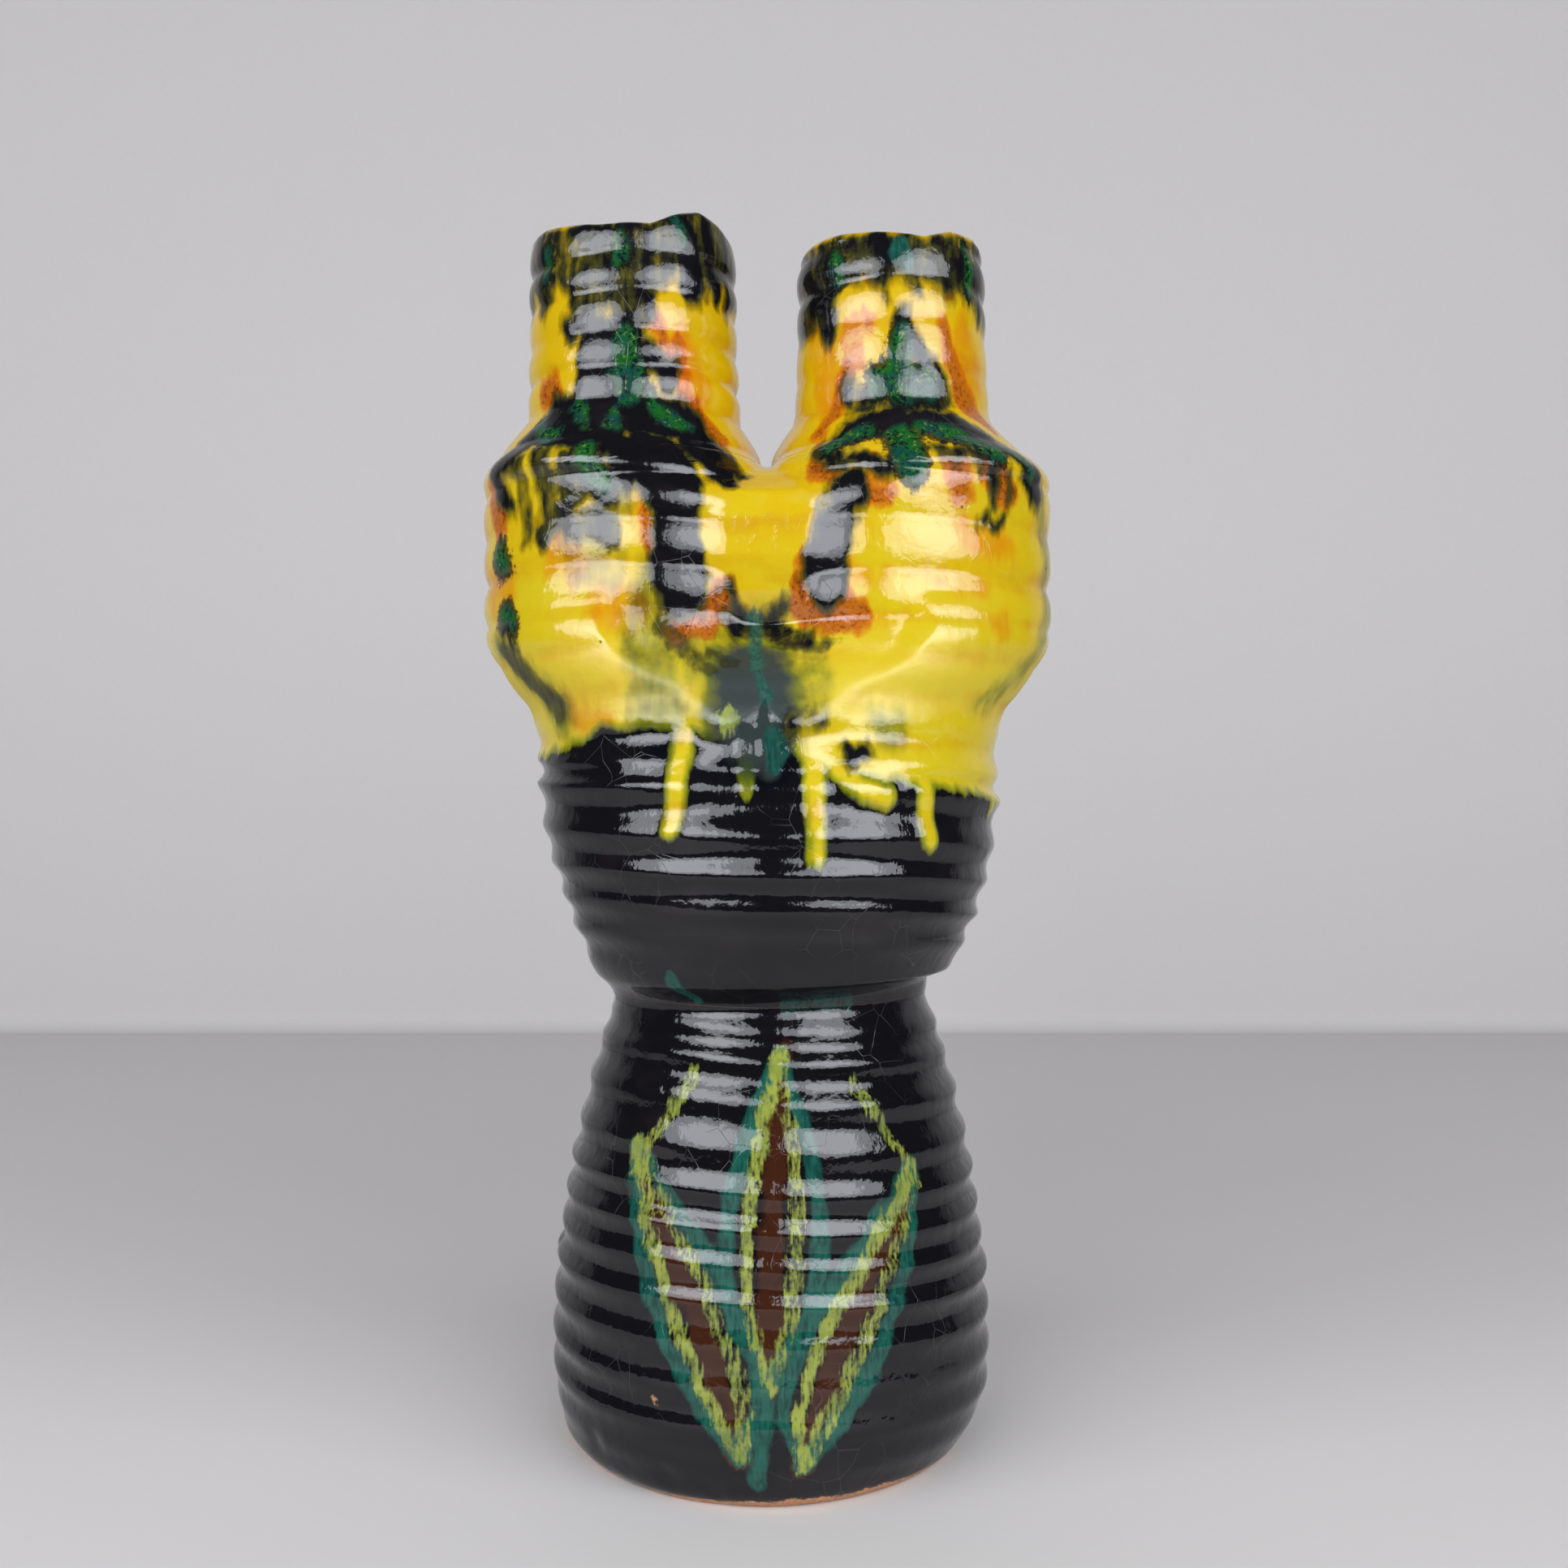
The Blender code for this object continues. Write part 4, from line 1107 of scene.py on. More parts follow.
class NodeTree:
    """Adds shader nodes to a tree, wired as they are made."""

    def __init__(self, tree):
        self.tree = tree

    def put(self, kind, inputs=(), **settings):
        """A node with these settings, its inputs set or wired by name or number."""
        node = self.tree.nodes.new(kind)
        for name, value in settings.items():
            setattr(node, name, value)
        for name, value in dict(inputs).items():
            self.feed(node.inputs[name], value)
        return node

    def feed(self, socket, value):
        """Wires an output to a socket, or sets the socket's own value."""
        if isinstance(value, bpy.types.NodeSocket):
            self.tree.links.new(value, socket)
        else:
            socket.default_value = value

    def maths(self, operation, *values):
        """One step of arithmetic."""
        return self.put("ShaderNodeMath", enumerate(values), operation=operation).outputs[0]

    def plus(self, base, value, share):
        """A base with a share of a value added to it."""
        return self.maths("MULTIPLY_ADD", value, share, base)

    def times(self, first, second):
        """The product of two numbers."""
        return self.maths("MULTIPLY", first, second)

    def step(self, value, low, high):
        """A smooth step from 0 at low to 1 at high."""
        node = self.put(
            "ShaderNodeMapRange",
            {"Value": value, "From Min": low, "From Max": high},
            interpolation_type="SMOOTHSTEP",
        )
        return node.outputs["Result"]

    def mix(self, share, first, second, blend="MIX"):
        """A mix of two colours."""
        sockets = {0: share, 6: first, 7: second}
        return self.put("ShaderNodeMix", sockets, data_type="RGBA", blend_type=blend).outputs[2]

    def over(self, colour, top, cover, low, high, most=1.0):
        """A colour with a top one laid over it, up to a most, as a cover goes from low to high."""
        share = self.step(cover, low, high)
        if most < 1.0:
            share = self.times(share, most)
        return self.mix(share, colour, top)

    def scaled(self, vector, *scale):
        """A vector times a scale."""
        node = self.put("ShaderNodeVectorMath", {0: vector, 1: scale}, operation="MULTIPLY")
        return node.outputs[0]

    def noise(self, vector, scale, detail=2.0, roughness=0.5):
        """Noise from -1 to 1, about."""
        node = self.put(
            "ShaderNodeTexNoise",
            {"Vector": vector, "Scale": scale, "Detail": detail, "Roughness": roughness},
        )
        return self.plus(-2.0, node.outputs[0], 4.0)


def colour4(colour):
    """A colour with full opacity."""
    return (*colour, 1.0)


def open_group(name, inputs, outputs):
    """A new shader node group with these sockets, its tree and its input and output nodes."""
    group = bpy.data.node_groups.new(name, "ShaderNodeTree")
    for socket, kind, value in inputs:
        made = group.interface.new_socket(socket, in_out="INPUT", socket_type=kind)
        made.default_value = value
    for socket, kind in outputs:
        group.interface.new_socket(socket, in_out="OUTPUT", socket_type=kind)
    nodes = NodeTree(group)
    return group, nodes, nodes.put("NodeGroupInput").outputs, nodes.put("NodeGroupOutput").inputs


def millimetres(nodes):
    """The place on the piece, in millimetres."""
    place = nodes.put("ShaderNodeTexCoord").outputs["Object"]
    return nodes.scaled(place, 1000.0, 1000.0, 1000.0)


def make_flow_group():
    """How a glaze creeps at its edges: streaks and feathers down the wall, blots and fine grain."""
    outputs = [(name, "NodeSocketFloat") for name in ("Streaks", "Feathers", "Blots", "Grain")]
    group, nodes, _, out = open_group("Glaze Flow", (), outputs)
    place = millimetres(nodes)
    nodes.feed(out["Streaks"], nodes.noise(nodes.scaled(place, 1.0, 1.0, 0.16), 0.42, 3.0))
    nodes.feed(out["Feathers"], nodes.noise(nodes.scaled(place, 1.0, 1.0, 0.18), 1.1, 2.0))
    nodes.feed(out["Blots"], nodes.noise(place, 0.2, 3.0))
    nodes.feed(out["Grain"], nodes.noise(place, 1.0, 3.0, 0.65))
    return group


def make_crackle_group():
    """Fine cracks and pinholes in a fired glaze."""
    outputs = (("Cracks", "NodeSocketFloat"), ("Pinholes", "NodeSocketFloat"))
    group, nodes, _, out = open_group("Glaze Crackle", (), outputs)
    place = millimetres(nodes)
    net = nodes.put(
        "ShaderNodeTexVoronoi",
        {"Vector": nodes.scaled(place, 1.0, 1.0, 0.7), "Scale": 0.13, "Randomness": 1.0},
        feature="DISTANCE_TO_EDGE",
    )
    lines = nodes.step(net.outputs["Distance"], 0.010, 0.002)
    patches = nodes.step(nodes.noise(place, 0.05, 1.0), -0.1, 0.6)
    nodes.feed(out["Cracks"], nodes.times(lines, patches))
    dots = nodes.put("ShaderNodeTexVoronoi", {"Vector": place, "Scale": 0.13, "Randomness": 1.0})
    pick = nodes.put("ShaderNodeSeparateColor", {0: dots.outputs["Color"]}).outputs[0]
    chosen = nodes.maths("GREATER_THAN", pick, 0.8)
    spots = nodes.step(dots.outputs["Distance"], 0.06, 0.025)
    nodes.feed(out["Pinholes"], nodes.times(spots, chosen))
    return group


def make_glaze_group(flow, crackle):
    """The colours of the fired glazes where they lie, thin out and run into each other."""
    inputs = [(name.capitalize(), "NodeSocketColor", (0.5, 0.5, 0.5, 1.0)) for name in GLAZE_COLOURS]
    outputs = (
        ("Color", "NodeSocketColor"),
        ("Roughness", "NodeSocketFloat"),
        ("Height", "NodeSocketFloat"),
    )
    group, nodes, given, out = open_group("Running Glazes", inputs, outputs)
    over = nodes.over
    flows = nodes.put("ShaderNodeGroup", node_tree=flow).outputs
    marks = nodes.put("ShaderNodeGroup", node_tree=crackle).outputs
    covers = []
    for layer in LAYERS:
        vector = nodes.put("ShaderNodeAttribute", attribute_name=layer).outputs["Vector"]
        covers += nodes.put("ShaderNodeSeparateXYZ", {0: vector}).outputs[:]
    yellow, dark, green, rust, lime, bare, haze, amber, teal = covers
    fold = nodes.put("ShaderNodeAttribute", attribute_name="rib_fold").outputs["Fac"]

    def crept(cover, **shares):
        """A cover whose edge is moved in and out by shares of the flow's noises."""
        for name, share in shares.items():
            cover = nodes.plus(cover, flows[name], share)
        return cover

    def tinted(colour, *tint):
        """A colour seen through a tinted film."""
        return nodes.mix(1.0, colour, (*tint, 1.0), "MULTIPLY")

    # Yellow: golden above and lemon below, pale where it thins on the crests and amber where it pools
    place = millimetres(nodes)
    height = nodes.put("ShaderNodeSeparateXYZ", {0: place}).outputs["Z"]
    slow = nodes.noise(nodes.scaled(place, 1.0, 1.0, 1.6), 0.055, 3.0, 0.55)
    bands = nodes.noise(nodes.scaled(place, 0.25, 0.25, 1.0), 0.16, 2.0)
    golden = nodes.plus(nodes.plus(-4.6, height, 0.022), slow, 0.9)
    tone = over(given["Lemon"], given["Yellow"], golden, -1.0, 1.2)
    pooled = crept(nodes.plus(nodes.times(bands, 0.7), fold, -0.45), Blots=0.35, Streaks=0.2)
    tone = over(tone, given["Ochre"], pooled, 0.0, 1.3, 0.7)
    tone = over(tone, PALE_YELLOW, pooled, -0.4, -1.2, 0.3)
    smeared = crept(amber, Streaks=0.8, Blots=0.8)
    tone = over(tone, tinted(tone, 1.0, 0.60, 0.45), smeared, -2.5, 2.0)
    ground = over(given["Black"], WARM_BLACK, slow, 0.0, 1.2, 0.8)
    edge = crept(yellow, Streaks=0.45, Blots=0.35, Grain=0.12)
    lit = nodes.step(edge, -0.8, 0.3)
    colour = nodes.mix(lit, ground, tinted(tone, 0.36, 0.50, 0.5))
    colour = over(colour, tone, edge, 0.0, 1.6)

    # Haze: a soft olive film over the yellow
    veil = crept(haze, Streaks=0.9, Blots=0.8)
    colour = over(colour, tinted(colour, 0.24, 0.34, 0.8), veil, -3.0, 3.0)
    colour = over(colour, POOL_GREY, veil, 1.0, 6.0)

    # Rust: orange where it thins out over yellow, deep brown over black
    touch = crept(rust, Streaks=0.45, Blots=0.4, Grain=0.25)
    colour = over(colour, tinted(colour, 0.92, 0.48, 0.6), touch, -1.7, -0.5)
    deep = over(given["Orange"], given["Rust"], flows["Grain"], -0.2, 0.9)
    deep = nodes.mix(lit, given["Brown"], deep)
    colour = over(colour, deep, touch, -0.9, 0.6)

    # Dark: an olive film over yellow that closes to black
    shade = crept(dark, Streaks=0.7, Blots=0.4, Grain=0.15)
    colour = over(colour, tinted(colour, 0.44, 0.44, 0.30), shade, -1.9, -0.5)
    colour = over(colour, given["Olive"], shade, -0.9, 0.3)
    colour = over(colour, ground, shade, -0.2, 0.9)

    # Green: leaf green with a dark outline, mottled and speckled
    leafy = crept(green, Streaks=0.9, Blots=0.6, Grain=0.9)
    colour = over(colour, ground, leafy, -2.0, -0.7, 0.9)
    deep_teal = tinted(given["Teal"], 0.5, 0.5, 0.5)
    cool = over(given["Green"], deep_teal, crept(flows["Blots"], Grain=0.6), -0.5, 0.5)
    cool = over(cool, ground, crept(flows["Grain"], Streaks=0.8), 0.0, 0.7, 0.9)
    cool = over(cool, given["Lime"], crept(flows["Grain"], Feathers=0.6), -0.4, -1.0, 0.5)
    colour = over(colour, cool, leafy, -0.9, 0.8)

    # Teal: brushed thinly, so that it streaks
    brushed = crept(teal, Feathers=0.35, Blots=0.4, Grain=0.2)
    thin_teal = tinted(given["Teal"], 0.3, 0.4, 0.45)
    sea = over(given["Teal"], thin_teal, crept(flows["Feathers"], Blots=0.7), -0.8, 1.0)
    colour = over(colour, sea, brushed, -0.5, 0.6, 0.92)

    # Lime: a pale glaze that breaks into feathers as it runs
    feather = crept(lime, Feathers=0.9, Grain=0.3)
    thin_lime = tinted(given["Lime"], 0.55, 0.62, 0.8)
    pale = over(given["Lime"], thin_lime, flows["Blots"], -0.6, 0.8)
    colour = over(colour, pale, feather, -0.5, 0.7)

    # Flakes, pinholes, cracks, and bare clay where the foot is worn
    colour = over(colour, given["Ochre"], amber, 1.0, 1.5)
    colour = nodes.mix(nodes.times(marks["Pinholes"], 0.85), colour, ground)
    colour = nodes.mix(nodes.times(marks["Cracks"], 0.06), colour, CRACK_GREY)
    worn = nodes.step(crept(bare, Streaks=0.2, Blots=0.8, Grain=0.4), -0.2, 0.5)
    clay = over(given["Clay"], PALE_CLAY, flows["Grain"], -0.8, 0.8)
    nodes.feed(out["Color"], nodes.mix(worn, colour, clay))

    # Gloss: a little softer on yellow, satin in the drier coat and dull on bare clay
    gloss = nodes.plus(nodes.plus(0.075, flows["Blots"], 0.012), lit, 0.035)
    ragged = crept(height, Blots=2.0)
    dry = nodes.times(nodes.step(ragged, *DRY_START), nodes.step(ragged, *DRY_END))
    gloss = nodes.plus(gloss, nodes.times(dry, lit), DRY_ROUGHNESS)
    nodes.feed(out["Roughness"], nodes.plus(gloss, worn, 0.7))

    # Fine relief, in millimetres
    relief = crept(nodes.times(flows["Blots"], 0.08), Streaks=0.02, Grain=0.006)
    relief = nodes.plus(relief, marks["Cracks"], -0.02)
    relief = nodes.plus(relief, marks["Pinholes"], -0.4)
    nodes.feed(out["Height"], relief)
    return group


def new_material(name):
    """A material with its node tree and its shader."""
    material = bpy.data.materials.new(name)
    material.use_nodes = True
    return material, NodeTree(material.node_tree), material.node_tree.nodes["Principled BSDF"]


def make_glaze_material(colours):
    """The glossy running glaze of the outside."""
    material, nodes, shader = new_material("running_glaze")
    group = make_glaze_group(make_flow_group(), make_crackle_group())
    glaze = nodes.put("ShaderNodeGroup", node_tree=group)
    for name in GLAZE_COLOURS:
        glaze.inputs[name.capitalize()].default_value = colour4(getattr(colours, name))
    nodes.feed(shader.inputs["Base Color"], glaze.outputs["Color"])
    nodes.feed(shader.inputs["Roughness"], glaze.outputs["Roughness"])
    relief = {"Height": glaze.outputs["Height"], "Strength": GLAZE_BUMP, "Distance": MM}
    nodes.feed(shader.inputs["Normal"], nodes.put("ShaderNodeBump", relief).outputs["Normal"])
    shader.inputs["IOR"].default_value = colours.refraction
    return material


def make_clay_material(colours):
    """Bare fired clay: the underside and the joints."""
    material, nodes, shader = new_material("bare_clay")
    grain = nodes.noise(millimetres(nodes), 0.9, 4.0, 0.65)
    tint = nodes.over(colour4(colours.clay), GRAINY_CLAY, grain, -1.0, 1.0)
    nodes.feed(shader.inputs["Base Color"], tint)
    nodes.feed(shader.inputs["Roughness"], nodes.plus(0.82, grain, 0.06))
    relief = {"Height": grain, "Strength": CLAY_BUMP, "Distance": 0.2 * MM}
    nodes.feed(shader.inputs["Normal"], nodes.put("ShaderNodeBump", relief).outputs["Normal"])
    return material


def make_inside_material(colours):
    """The dark glaze of the inside."""
    material, nodes, shader = new_material("inside_glaze")
    flow = nodes.noise(nodes.scaled(millimetres(nodes), 1.0, 1.0, 0.2), 0.2, 3.0)
    tint = nodes.over(colour4(colours.black), INSIDE_BROWN, flow, -0.6, 1.2)
    nodes.feed(shader.inputs["Base Color"], tint)
    nodes.feed(shader.inputs["Roughness"], nodes.plus(0.16, flow, 0.03))
    shader.inputs["IOR"].default_value = colours.refraction
    return material


def length_property(name, description, default, least=0.0):
    """A length that the user can change."""
    return FloatProperty(name=name, description=description, default=default, min=least, unit="LENGTH")


def colour_property(name, description, default):
    """A colour that the user can change."""
    return FloatVectorProperty(
        name=name, description=description, default=default, size=3, min=0.0, max=1.0, subtype="COLOR"
    )


def strength_property(name, description, default):
    """A brightness that the user can change."""
    return FloatProperty(name=name, description=description, default=default, min=0.0)


class VaseSkinSettings(bpy.types.PropertyGroup):
    """Sizes of the skin."""

    rib_depth: length_property("Rib depth", "How deep the throwing ribs are", 1.0 * MM)
    lump_depth: length_property("Lump depth", "How uneven the walls are", 0.35 * MM)
    glaze_thickness: length_property("Glaze thickness", "How far yellow stands above black", 0.5 * MM)
    wall: length_property("Wall", "Thickness of the walls", 4.5 * MM)
    floor: length_property("Floor", "Thickness of the foot's floor", 9.0 * MM)
    mesh_step: length_property("Mesh step", "Size of the skin's faces", 1.0 * MM, 0.4 * MM)
    back_seed: IntProperty(name="Back seed", description="Changes the dabs round the back", default=7)


class VaseGlazeSettings(bpy.types.PropertyGroup):
    """Colours of the glazes."""

    yellow: colour_property("Yellow", "Golden yellow of the necks and shoulders", (0.64, 0.42, 0.003))
    lemon: colour_property("Lemon", "Lighter yellow low on the bulbs", (0.62, 0.49, 0.012))
    ochre: colour_property("Ochre", "Amber where the yellow pools", (0.57, 0.30, 0.004))
    black: colour_property("Black", "Black ground", (0.004, 0.004, 0.006))
    olive: colour_property("Olive", "Black where it thins out over yellow", (0.055, 0.055, 0.010))
    green: colour_property("Green", "Leaf green dabs", (0.008, 0.105, 0.014))
    teal: colour_property("Teal", "Blue-green dabs", (0.012, 0.115, 0.085))
    rust: colour_property("Rust", "Iron red touches", (0.20, 0.035, 0.004))
    orange: colour_property("Orange", "Lighter grain in the rust", (0.46, 0.13, 0.006))
    brown: colour_property("Brown", "Rust over black", (0.045, 0.013, 0.005))
    lime: colour_property("Lime", "Feathered yellow-green strokes", (0.30, 0.35, 0.06))
    clay: colour_property("Clay", "Bare fired clay", (0.42, 0.19, 0.09))
    refraction: FloatProperty(
        name="Refraction", description="Refractive index of the glaze", default=1.46, min=1.0, max=2.5
    )


class VaseStageSettings(bpy.types.PropertyGroup):
    """Camera, lamps and backdrop."""

    camera_place: FloatVectorProperty(
        name="Camera", description="Where the camera stands", default=(0.0032, -0.398, 0.161), subtype="XYZ"
    )
    lens: FloatProperty(
        name="Lens", description="Focal length, in millimetres", default=36.0, unit="CAMERA"
    )
    lamp_radiance: strength_property("Lamp radiance", "Brightness of the two soft boxes", 3.1)
    shine_radiance: strength_property("Shine radiance", "Brightness of the soft boxes in the gloss", 4.4)
    core_radiance: strength_property("Core radiance", "What the boxes' middles add in the gloss", 3.4)
    lamp_distance: length_property("Lamp distance", "From the vase to a soft box", 1.3)
    shine_distance: length_property("Shine distance", "From the vase to a soft box in the gloss", 0.7)
    wall_distance: length_property("Wall distance", "From the vase to the wall behind it", 0.625)
    paper: colour_property("Paper", "Floor and wall", (0.635, 0.625, 0.635))
    room: colour_property("Room", "What the rest of the room sends back", (0.05, 0.05, 0.055))


# Lamps: the angles that they fill to the sides and above the table, seen from the middle of the vase. The
# soft boxes light the vase, and its gloss shows the shines, each with a core in front of it
SOFT_BOX_SPANS = {"left": (-72.0, -12.0), "right": (6.0, 70.0)}
SOFT_BOX_RISE = (5.0, 46.0)
SHINE_SPANS = {"left": (-67.0, -8.0), "right": (7.0, 67.0)}
SHINE_RISE = (2.0, 35.0)
SHINE_COLOUR = (0.91, 0.93, 1.0)
CORE_SHARE = 0.6
CORE_NEARER = 0.04
LAMP_AIM = Vector((0.0, 0.0, 0.16))

# Backdrop, in metres: a sheet that bends from the floor up to the wall, just under the foot. Its paper is
# mottled, and painted lighter towards the front: painted light, for the lamps falling brighter there
SHEET_HALF_WIDTH = 2.0
SHEET_FRONT = -0.62
SHEET_HEIGHT = 1.8
SHEET_BEND = 0.012
SHEET_DROP = 0.0002
PAPER_MOTTLE = 0.97
PAPER_PAINTED_FRONT_LIGHT = 1.2
PAPER_ROUGHNESS = 0.6
PAPER_SPECULAR = 0.2
SKY_GREY = (0.56, 0.555, 0.555, 1.0)

# Camera: the width of its sensor in millimetres, and the nearest that it sees, in metres
SENSOR_WIDTH = 36.0
NEAREST_SEEN = 0.01


def settings():
    """The three groups of settings."""
    scene = bpy.context.scene
    return scene.vase_skin, scene.vase_glaze, scene.vase_stage


def vase_materials():
    """Outside glaze, bare clay and inside glaze, made once."""
    names = ("running_glaze", "bare_clay", "inside_glaze")
    if names[0] not in bpy.data.materials:
        colours = settings()[1]
        make_glaze_material(colours)
        make_clay_material(colours)
        make_inside_material(colours)
    return [bpy.data.materials[name] for name in names]


def dress(piece, slot, *nodes):
    """Puts a finished piece in the place of its clay sections."""
    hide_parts(*nodes)
    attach(piece, "root")


def inner_span(span, share):
    """The middle share of a span of angles."""
    middle, half = (span[0] + span[1]) / 2, (span[1] - span[0]) / 2
    return middle - half * share, middle + half * share


class VASE_OT_stage(bpy.types.Operator):
    """Camera, soft boxes, floor and wall"""

    bl_idname = "vase.stage"
    bl_label = "Stage"

    def execute(self, context):
        stage = settings()[2]
        self.add_camera(context, stage)
        for name, span in SOFT_BOX_SPANS.items():
            soft_box = self.add_lamp(context, f"soft_box_{name}", span, SOFT_BOX_RISE, stage.lamp_distance)
            soft_box.data.energy *= stage.lamp_radiance
            soft_box.visible_glossy = False
        layers = (("rim", 1.0, stage.shine_radiance), ("core", CORE_SHARE, stage.core_radiance))
        for name, span in SHINE_SPANS.items():
            for layer, share, radiance in layers:
                reach = stage.shine_distance * (1.0 - CORE_NEARER * (1.0 - share))
                spans = (inner_span(pair, share) for pair in (span, SHINE_RISE))
                shine = self.add_lamp(context, f"shine_{name}_{layer}", *spans, reach)
                shine.data.shape = "ELLIPSE"
                shine.data.energy *= radiance
                shine.data.color = SHINE_COLOUR
                shine.visible_diffuse = False
        self.add_backdrop(context, stage)
        self.set_room(context, stage)
        context.scene.view_settings.view_transform = "Standard"
        return {"FINISHED"}

    def add_camera(self, context, stage):
        camera = bpy.data.objects.new("camera", bpy.data.cameras.new("camera"))
        camera.data.sensor_width = SENSOR_WIDTH
        camera.data.lens = stage.lens
        camera.data.clip_start = NEAREST_SEEN
        camera.location = stage.camera_place
        camera.rotation_euler = (math.radians(90.0), 0.0, 0.0)
        context.scene.collection.objects.link(camera)
        context.scene.camera = camera

    def add_lamp(self, context, name, span, rise, reach):
        azimuth, height = (math.radians(sum(pair) / 2) for pair in (span, rise))
        lamp = bpy.data.lights.new(name, "AREA")
        lamp.shape = "RECTANGLE"
        lamp.size = 2.0 * reach * math.tan(math.radians(span[1] - span[0]) / 2)
        lamp.size_y = 2.0 * reach * math.tan(math.radians(rise[1] - rise[0]) / 2)
        lamp.energy = math.pi * lamp.size * lamp.size_y
        shown = bpy.data.objects.new(name, lamp)
        level = math.cos(height)
        way = Vector((math.sin(azimuth) * level, -math.cos(azimuth) * level, math.sin(height)))
        shown.location = LAMP_AIM + way * reach
        shown.rotation_euler = way.to_track_quat("Z", "Y").to_euler()
        shown.visible_camera = False
        context.scene.collection.objects.link(shown)
        return shown

    def add_backdrop(self, context, stage):
        material, nodes, shader = new_material("paper")
        grain = nodes.noise(millimetres(nodes), 0.4, 3.0)
        tint = nodes.over(colour4(stage.paper), colour4(stage.paper * PAPER_MOTTLE), grain, -2.0, 2.0)
        ahead = nodes.put("ShaderNodeSeparateXYZ", {0: millimetres(nodes)}).outputs["Y"]
        # Painted light: the paper's colour is painted lighter towards the front, where the lamps light it
        # more
        tint = nodes.over(tint, colour4(stage.paper * PAPER_PAINTED_FRONT_LIGHT), ahead, 300.0, -300.0)
        nodes.feed(shader.inputs["Base Color"], tint)
        shader.inputs["Roughness"].default_value = PAPER_ROUGHNESS
        shader.inputs["Specular IOR Level"].default_value = PAPER_SPECULAR
        output = material.node_tree.nodes["Material Output"]
        behind = nodes.put("ShaderNodeNewGeometry").outputs["Backfacing"]
        clear = nodes.put("ShaderNodeBsdfTransparent").outputs[0]
        sheet = nodes.put("ShaderNodeMixShader", {0: behind, 1: shader.outputs[0], 2: clear})
        nodes.feed(output.inputs["Surface"], sheet.outputs[0])
        back = stage.wall_distance
        bend = SHEET_BEND
        edge = [(SHEET_FRONT, 0.0), (back - bend, 0.0)]
        for angle in np.linspace(0.0, math.pi / 2, 7)[1:]:
            edge.append((back - bend + bend * math.sin(angle), bend * (1.0 - math.cos(angle))))
        edge.append((back, SHEET_HEIGHT))
        corners = [(side * SHEET_HALF_WIDTH, y, z - SHEET_DROP) for y, z in edge for side in (LEFT, RIGHT)]
        faces = [(i, i + 1, i + 3, i + 2) for i in range(0, len(corners) - 2, 2)]
        mesh = bpy.data.meshes.new("backdrop")
        mesh.from_pydata(corners, [], faces)
        mesh.materials.append(material)
        mesh.shade_smooth()
        backdrop = bpy.data.objects.new("backdrop", mesh)
        context.scene.collection.objects.link(backdrop)

    def set_room(self, context, stage):
        world = bpy.data.worlds.new("room")
        world.use_nodes = True
        context.scene.world = world
        nodes = NodeTree(world.node_tree)
        seen = nodes.put("ShaderNodeLightPath").outputs["Is Camera Ray"]
        tint = nodes.mix(seen, colour4(stage.room), SKY_GREY)
        nodes.feed(world.node_tree.nodes["Background"].inputs["Color"], tint)


class VASE_OT_foot(bpy.types.Operator):
    """The ribbed foot with the spray of leaves on its front"""

    bl_idname = "vase.foot"
    bl_label = "Foot"

    def execute(self, context):
        skin = settings()[0]
        laid = lay(tuple(spray()) + WAIST, skin)
        dress(mesh_foot(skin, laid, vase_materials()), "black_glaze", "foot")
        return {"FINISHED"}


class VASE_OT_bowl(bpy.types.Operator):
    """The black bowl with the drips that run down over it"""

    bl_idname = "vase.bowl"
    bl_label = "Bowl"

    def execute(self, context):
        skin = settings()[0]
        laid = lay(DRIPS + WAIST + MIDDLE + LEFT_BULB + RIGHT_BULB + tuple(back_dabs(skin.back_seed)), skin)
        piece = mesh_bowl(skin, laid, vase_materials())
        dress(piece, "black_glaze", "bowl", "waist_luting_ring", "belt_luting_ring")
        return {"FINISHED"}


class VASE_OT_bulbs(bpy.types.Operator):
    """The two bulbs, run into each other at the seam"""

    bl_idname = "vase.bulbs"
    bl_label = "Bulbs"

    def execute(self, context):
        skin = settings()[0]
        marks = DRIPS + MIDDLE + LEFT_NECK + LEFT_BULB + RIGHT_NECK + RIGHT_BULB
        laid = lay(marks + tuple(back_dabs(skin.back_seed)), skin)
        left = mesh_bulb("bulb_left_skin", LEFT, skin, laid, vase_materials())
        dress(left, "yellow_glaze", "bulb_left")
        right = mesh_bulb("bulb_right_skin", RIGHT, skin, laid, vase_materials())
        dress(right, "yellow_glaze", "bulb_right", "saddle_web")
        return {"FINISHED"}


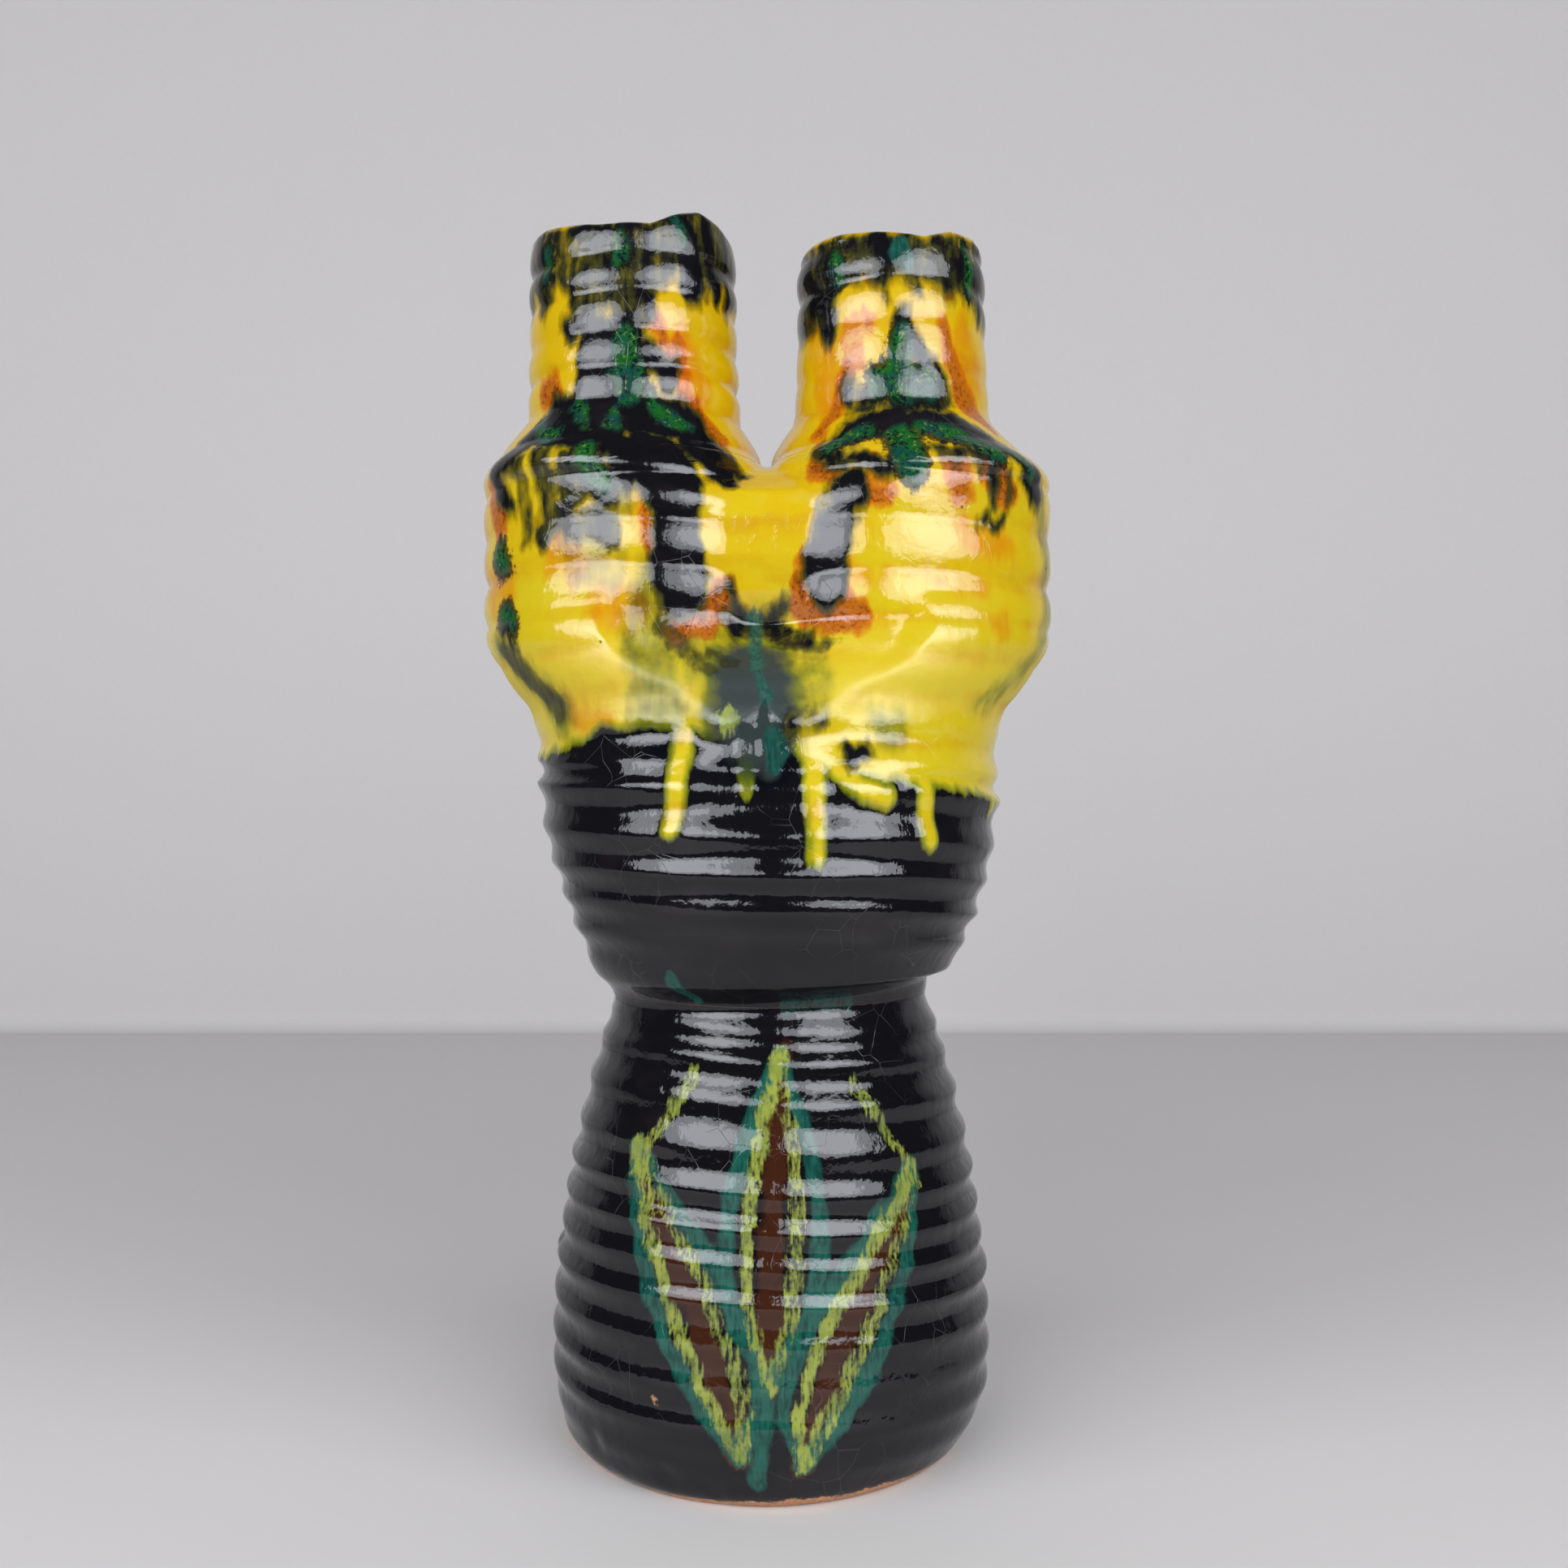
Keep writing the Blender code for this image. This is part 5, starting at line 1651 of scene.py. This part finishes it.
class VASE_OT_necks(bpy.types.Operator):
    """The two open necks with their uneven rims"""

    bl_idname = "vase.necks"
    bl_label = "Necks"

    def execute(self, context):
        skin = settings()[0]
        marks = LEFT_NECK + LEFT_BULB + RIGHT_NECK + RIGHT_BULB
        laid = lay(marks + tuple(back_dabs(skin.back_seed)), skin)
        left = mesh_neck("neck_left_skin", LEFT, skin, laid, vase_materials())
        dress(left, "yellow_glaze", "neck_left", "neck_luting_ring_left")
        right = mesh_neck("neck_right_skin", RIGHT, skin, laid, vase_materials())
        dress(right, "yellow_glaze", "neck_right", "neck_luting_ring_right")
        return {"FINISHED"}


class VASE_PT_panel(bpy.types.Panel):
    """Sizes, colours and the operators that build the vase"""

    bl_idname = "VASE_PT_panel"
    bl_label = "Twin-Necked Vase"
    bl_space_type = "VIEW_3D"
    bl_region_type = "UI"
    bl_category = "Vase"

    def draw(self, context):
        for group in settings():
            box = self.layout.box()
            for name in group.bl_rna.properties.keys():
                if name not in ("rna_type", "name"):
                    box.prop(group, name)
        for operator in OPERATORS:
            self.layout.operator(operator.bl_idname)


OPERATORS = (VASE_OT_stage, VASE_OT_foot, VASE_OT_bowl, VASE_OT_bulbs, VASE_OT_necks)
GROUPS = {"vase_skin": VaseSkinSettings, "vase_glaze": VaseGlazeSettings, "vase_stage": VaseStageSettings}
CLASSES = (*GROUPS.values(), *OPERATORS, VASE_PT_panel)


def register():
    """Registers the classes and puts the settings on the scene."""
    for item in CLASSES:
        bpy.utils.register_class(item)
    for name, group in GROUPS.items():
        setattr(bpy.types.Scene, name, PointerProperty(type=group))


def unregister():
    """Takes the settings off the scene and the classes out."""
    for name in GROUPS:
        delattr(bpy.types.Scene, name)
    for item in reversed(CLASSES):
        bpy.utils.unregister_class(item)


def main():
    """Builds stage and vase."""
    register()
    bpy.ops.vase.stage()
    bpy.ops.vase.foot()
    bpy.ops.vase.bowl()
    bpy.ops.vase.bulbs()
    bpy.ops.vase.necks()


if __name__ == "__main__":
    main()
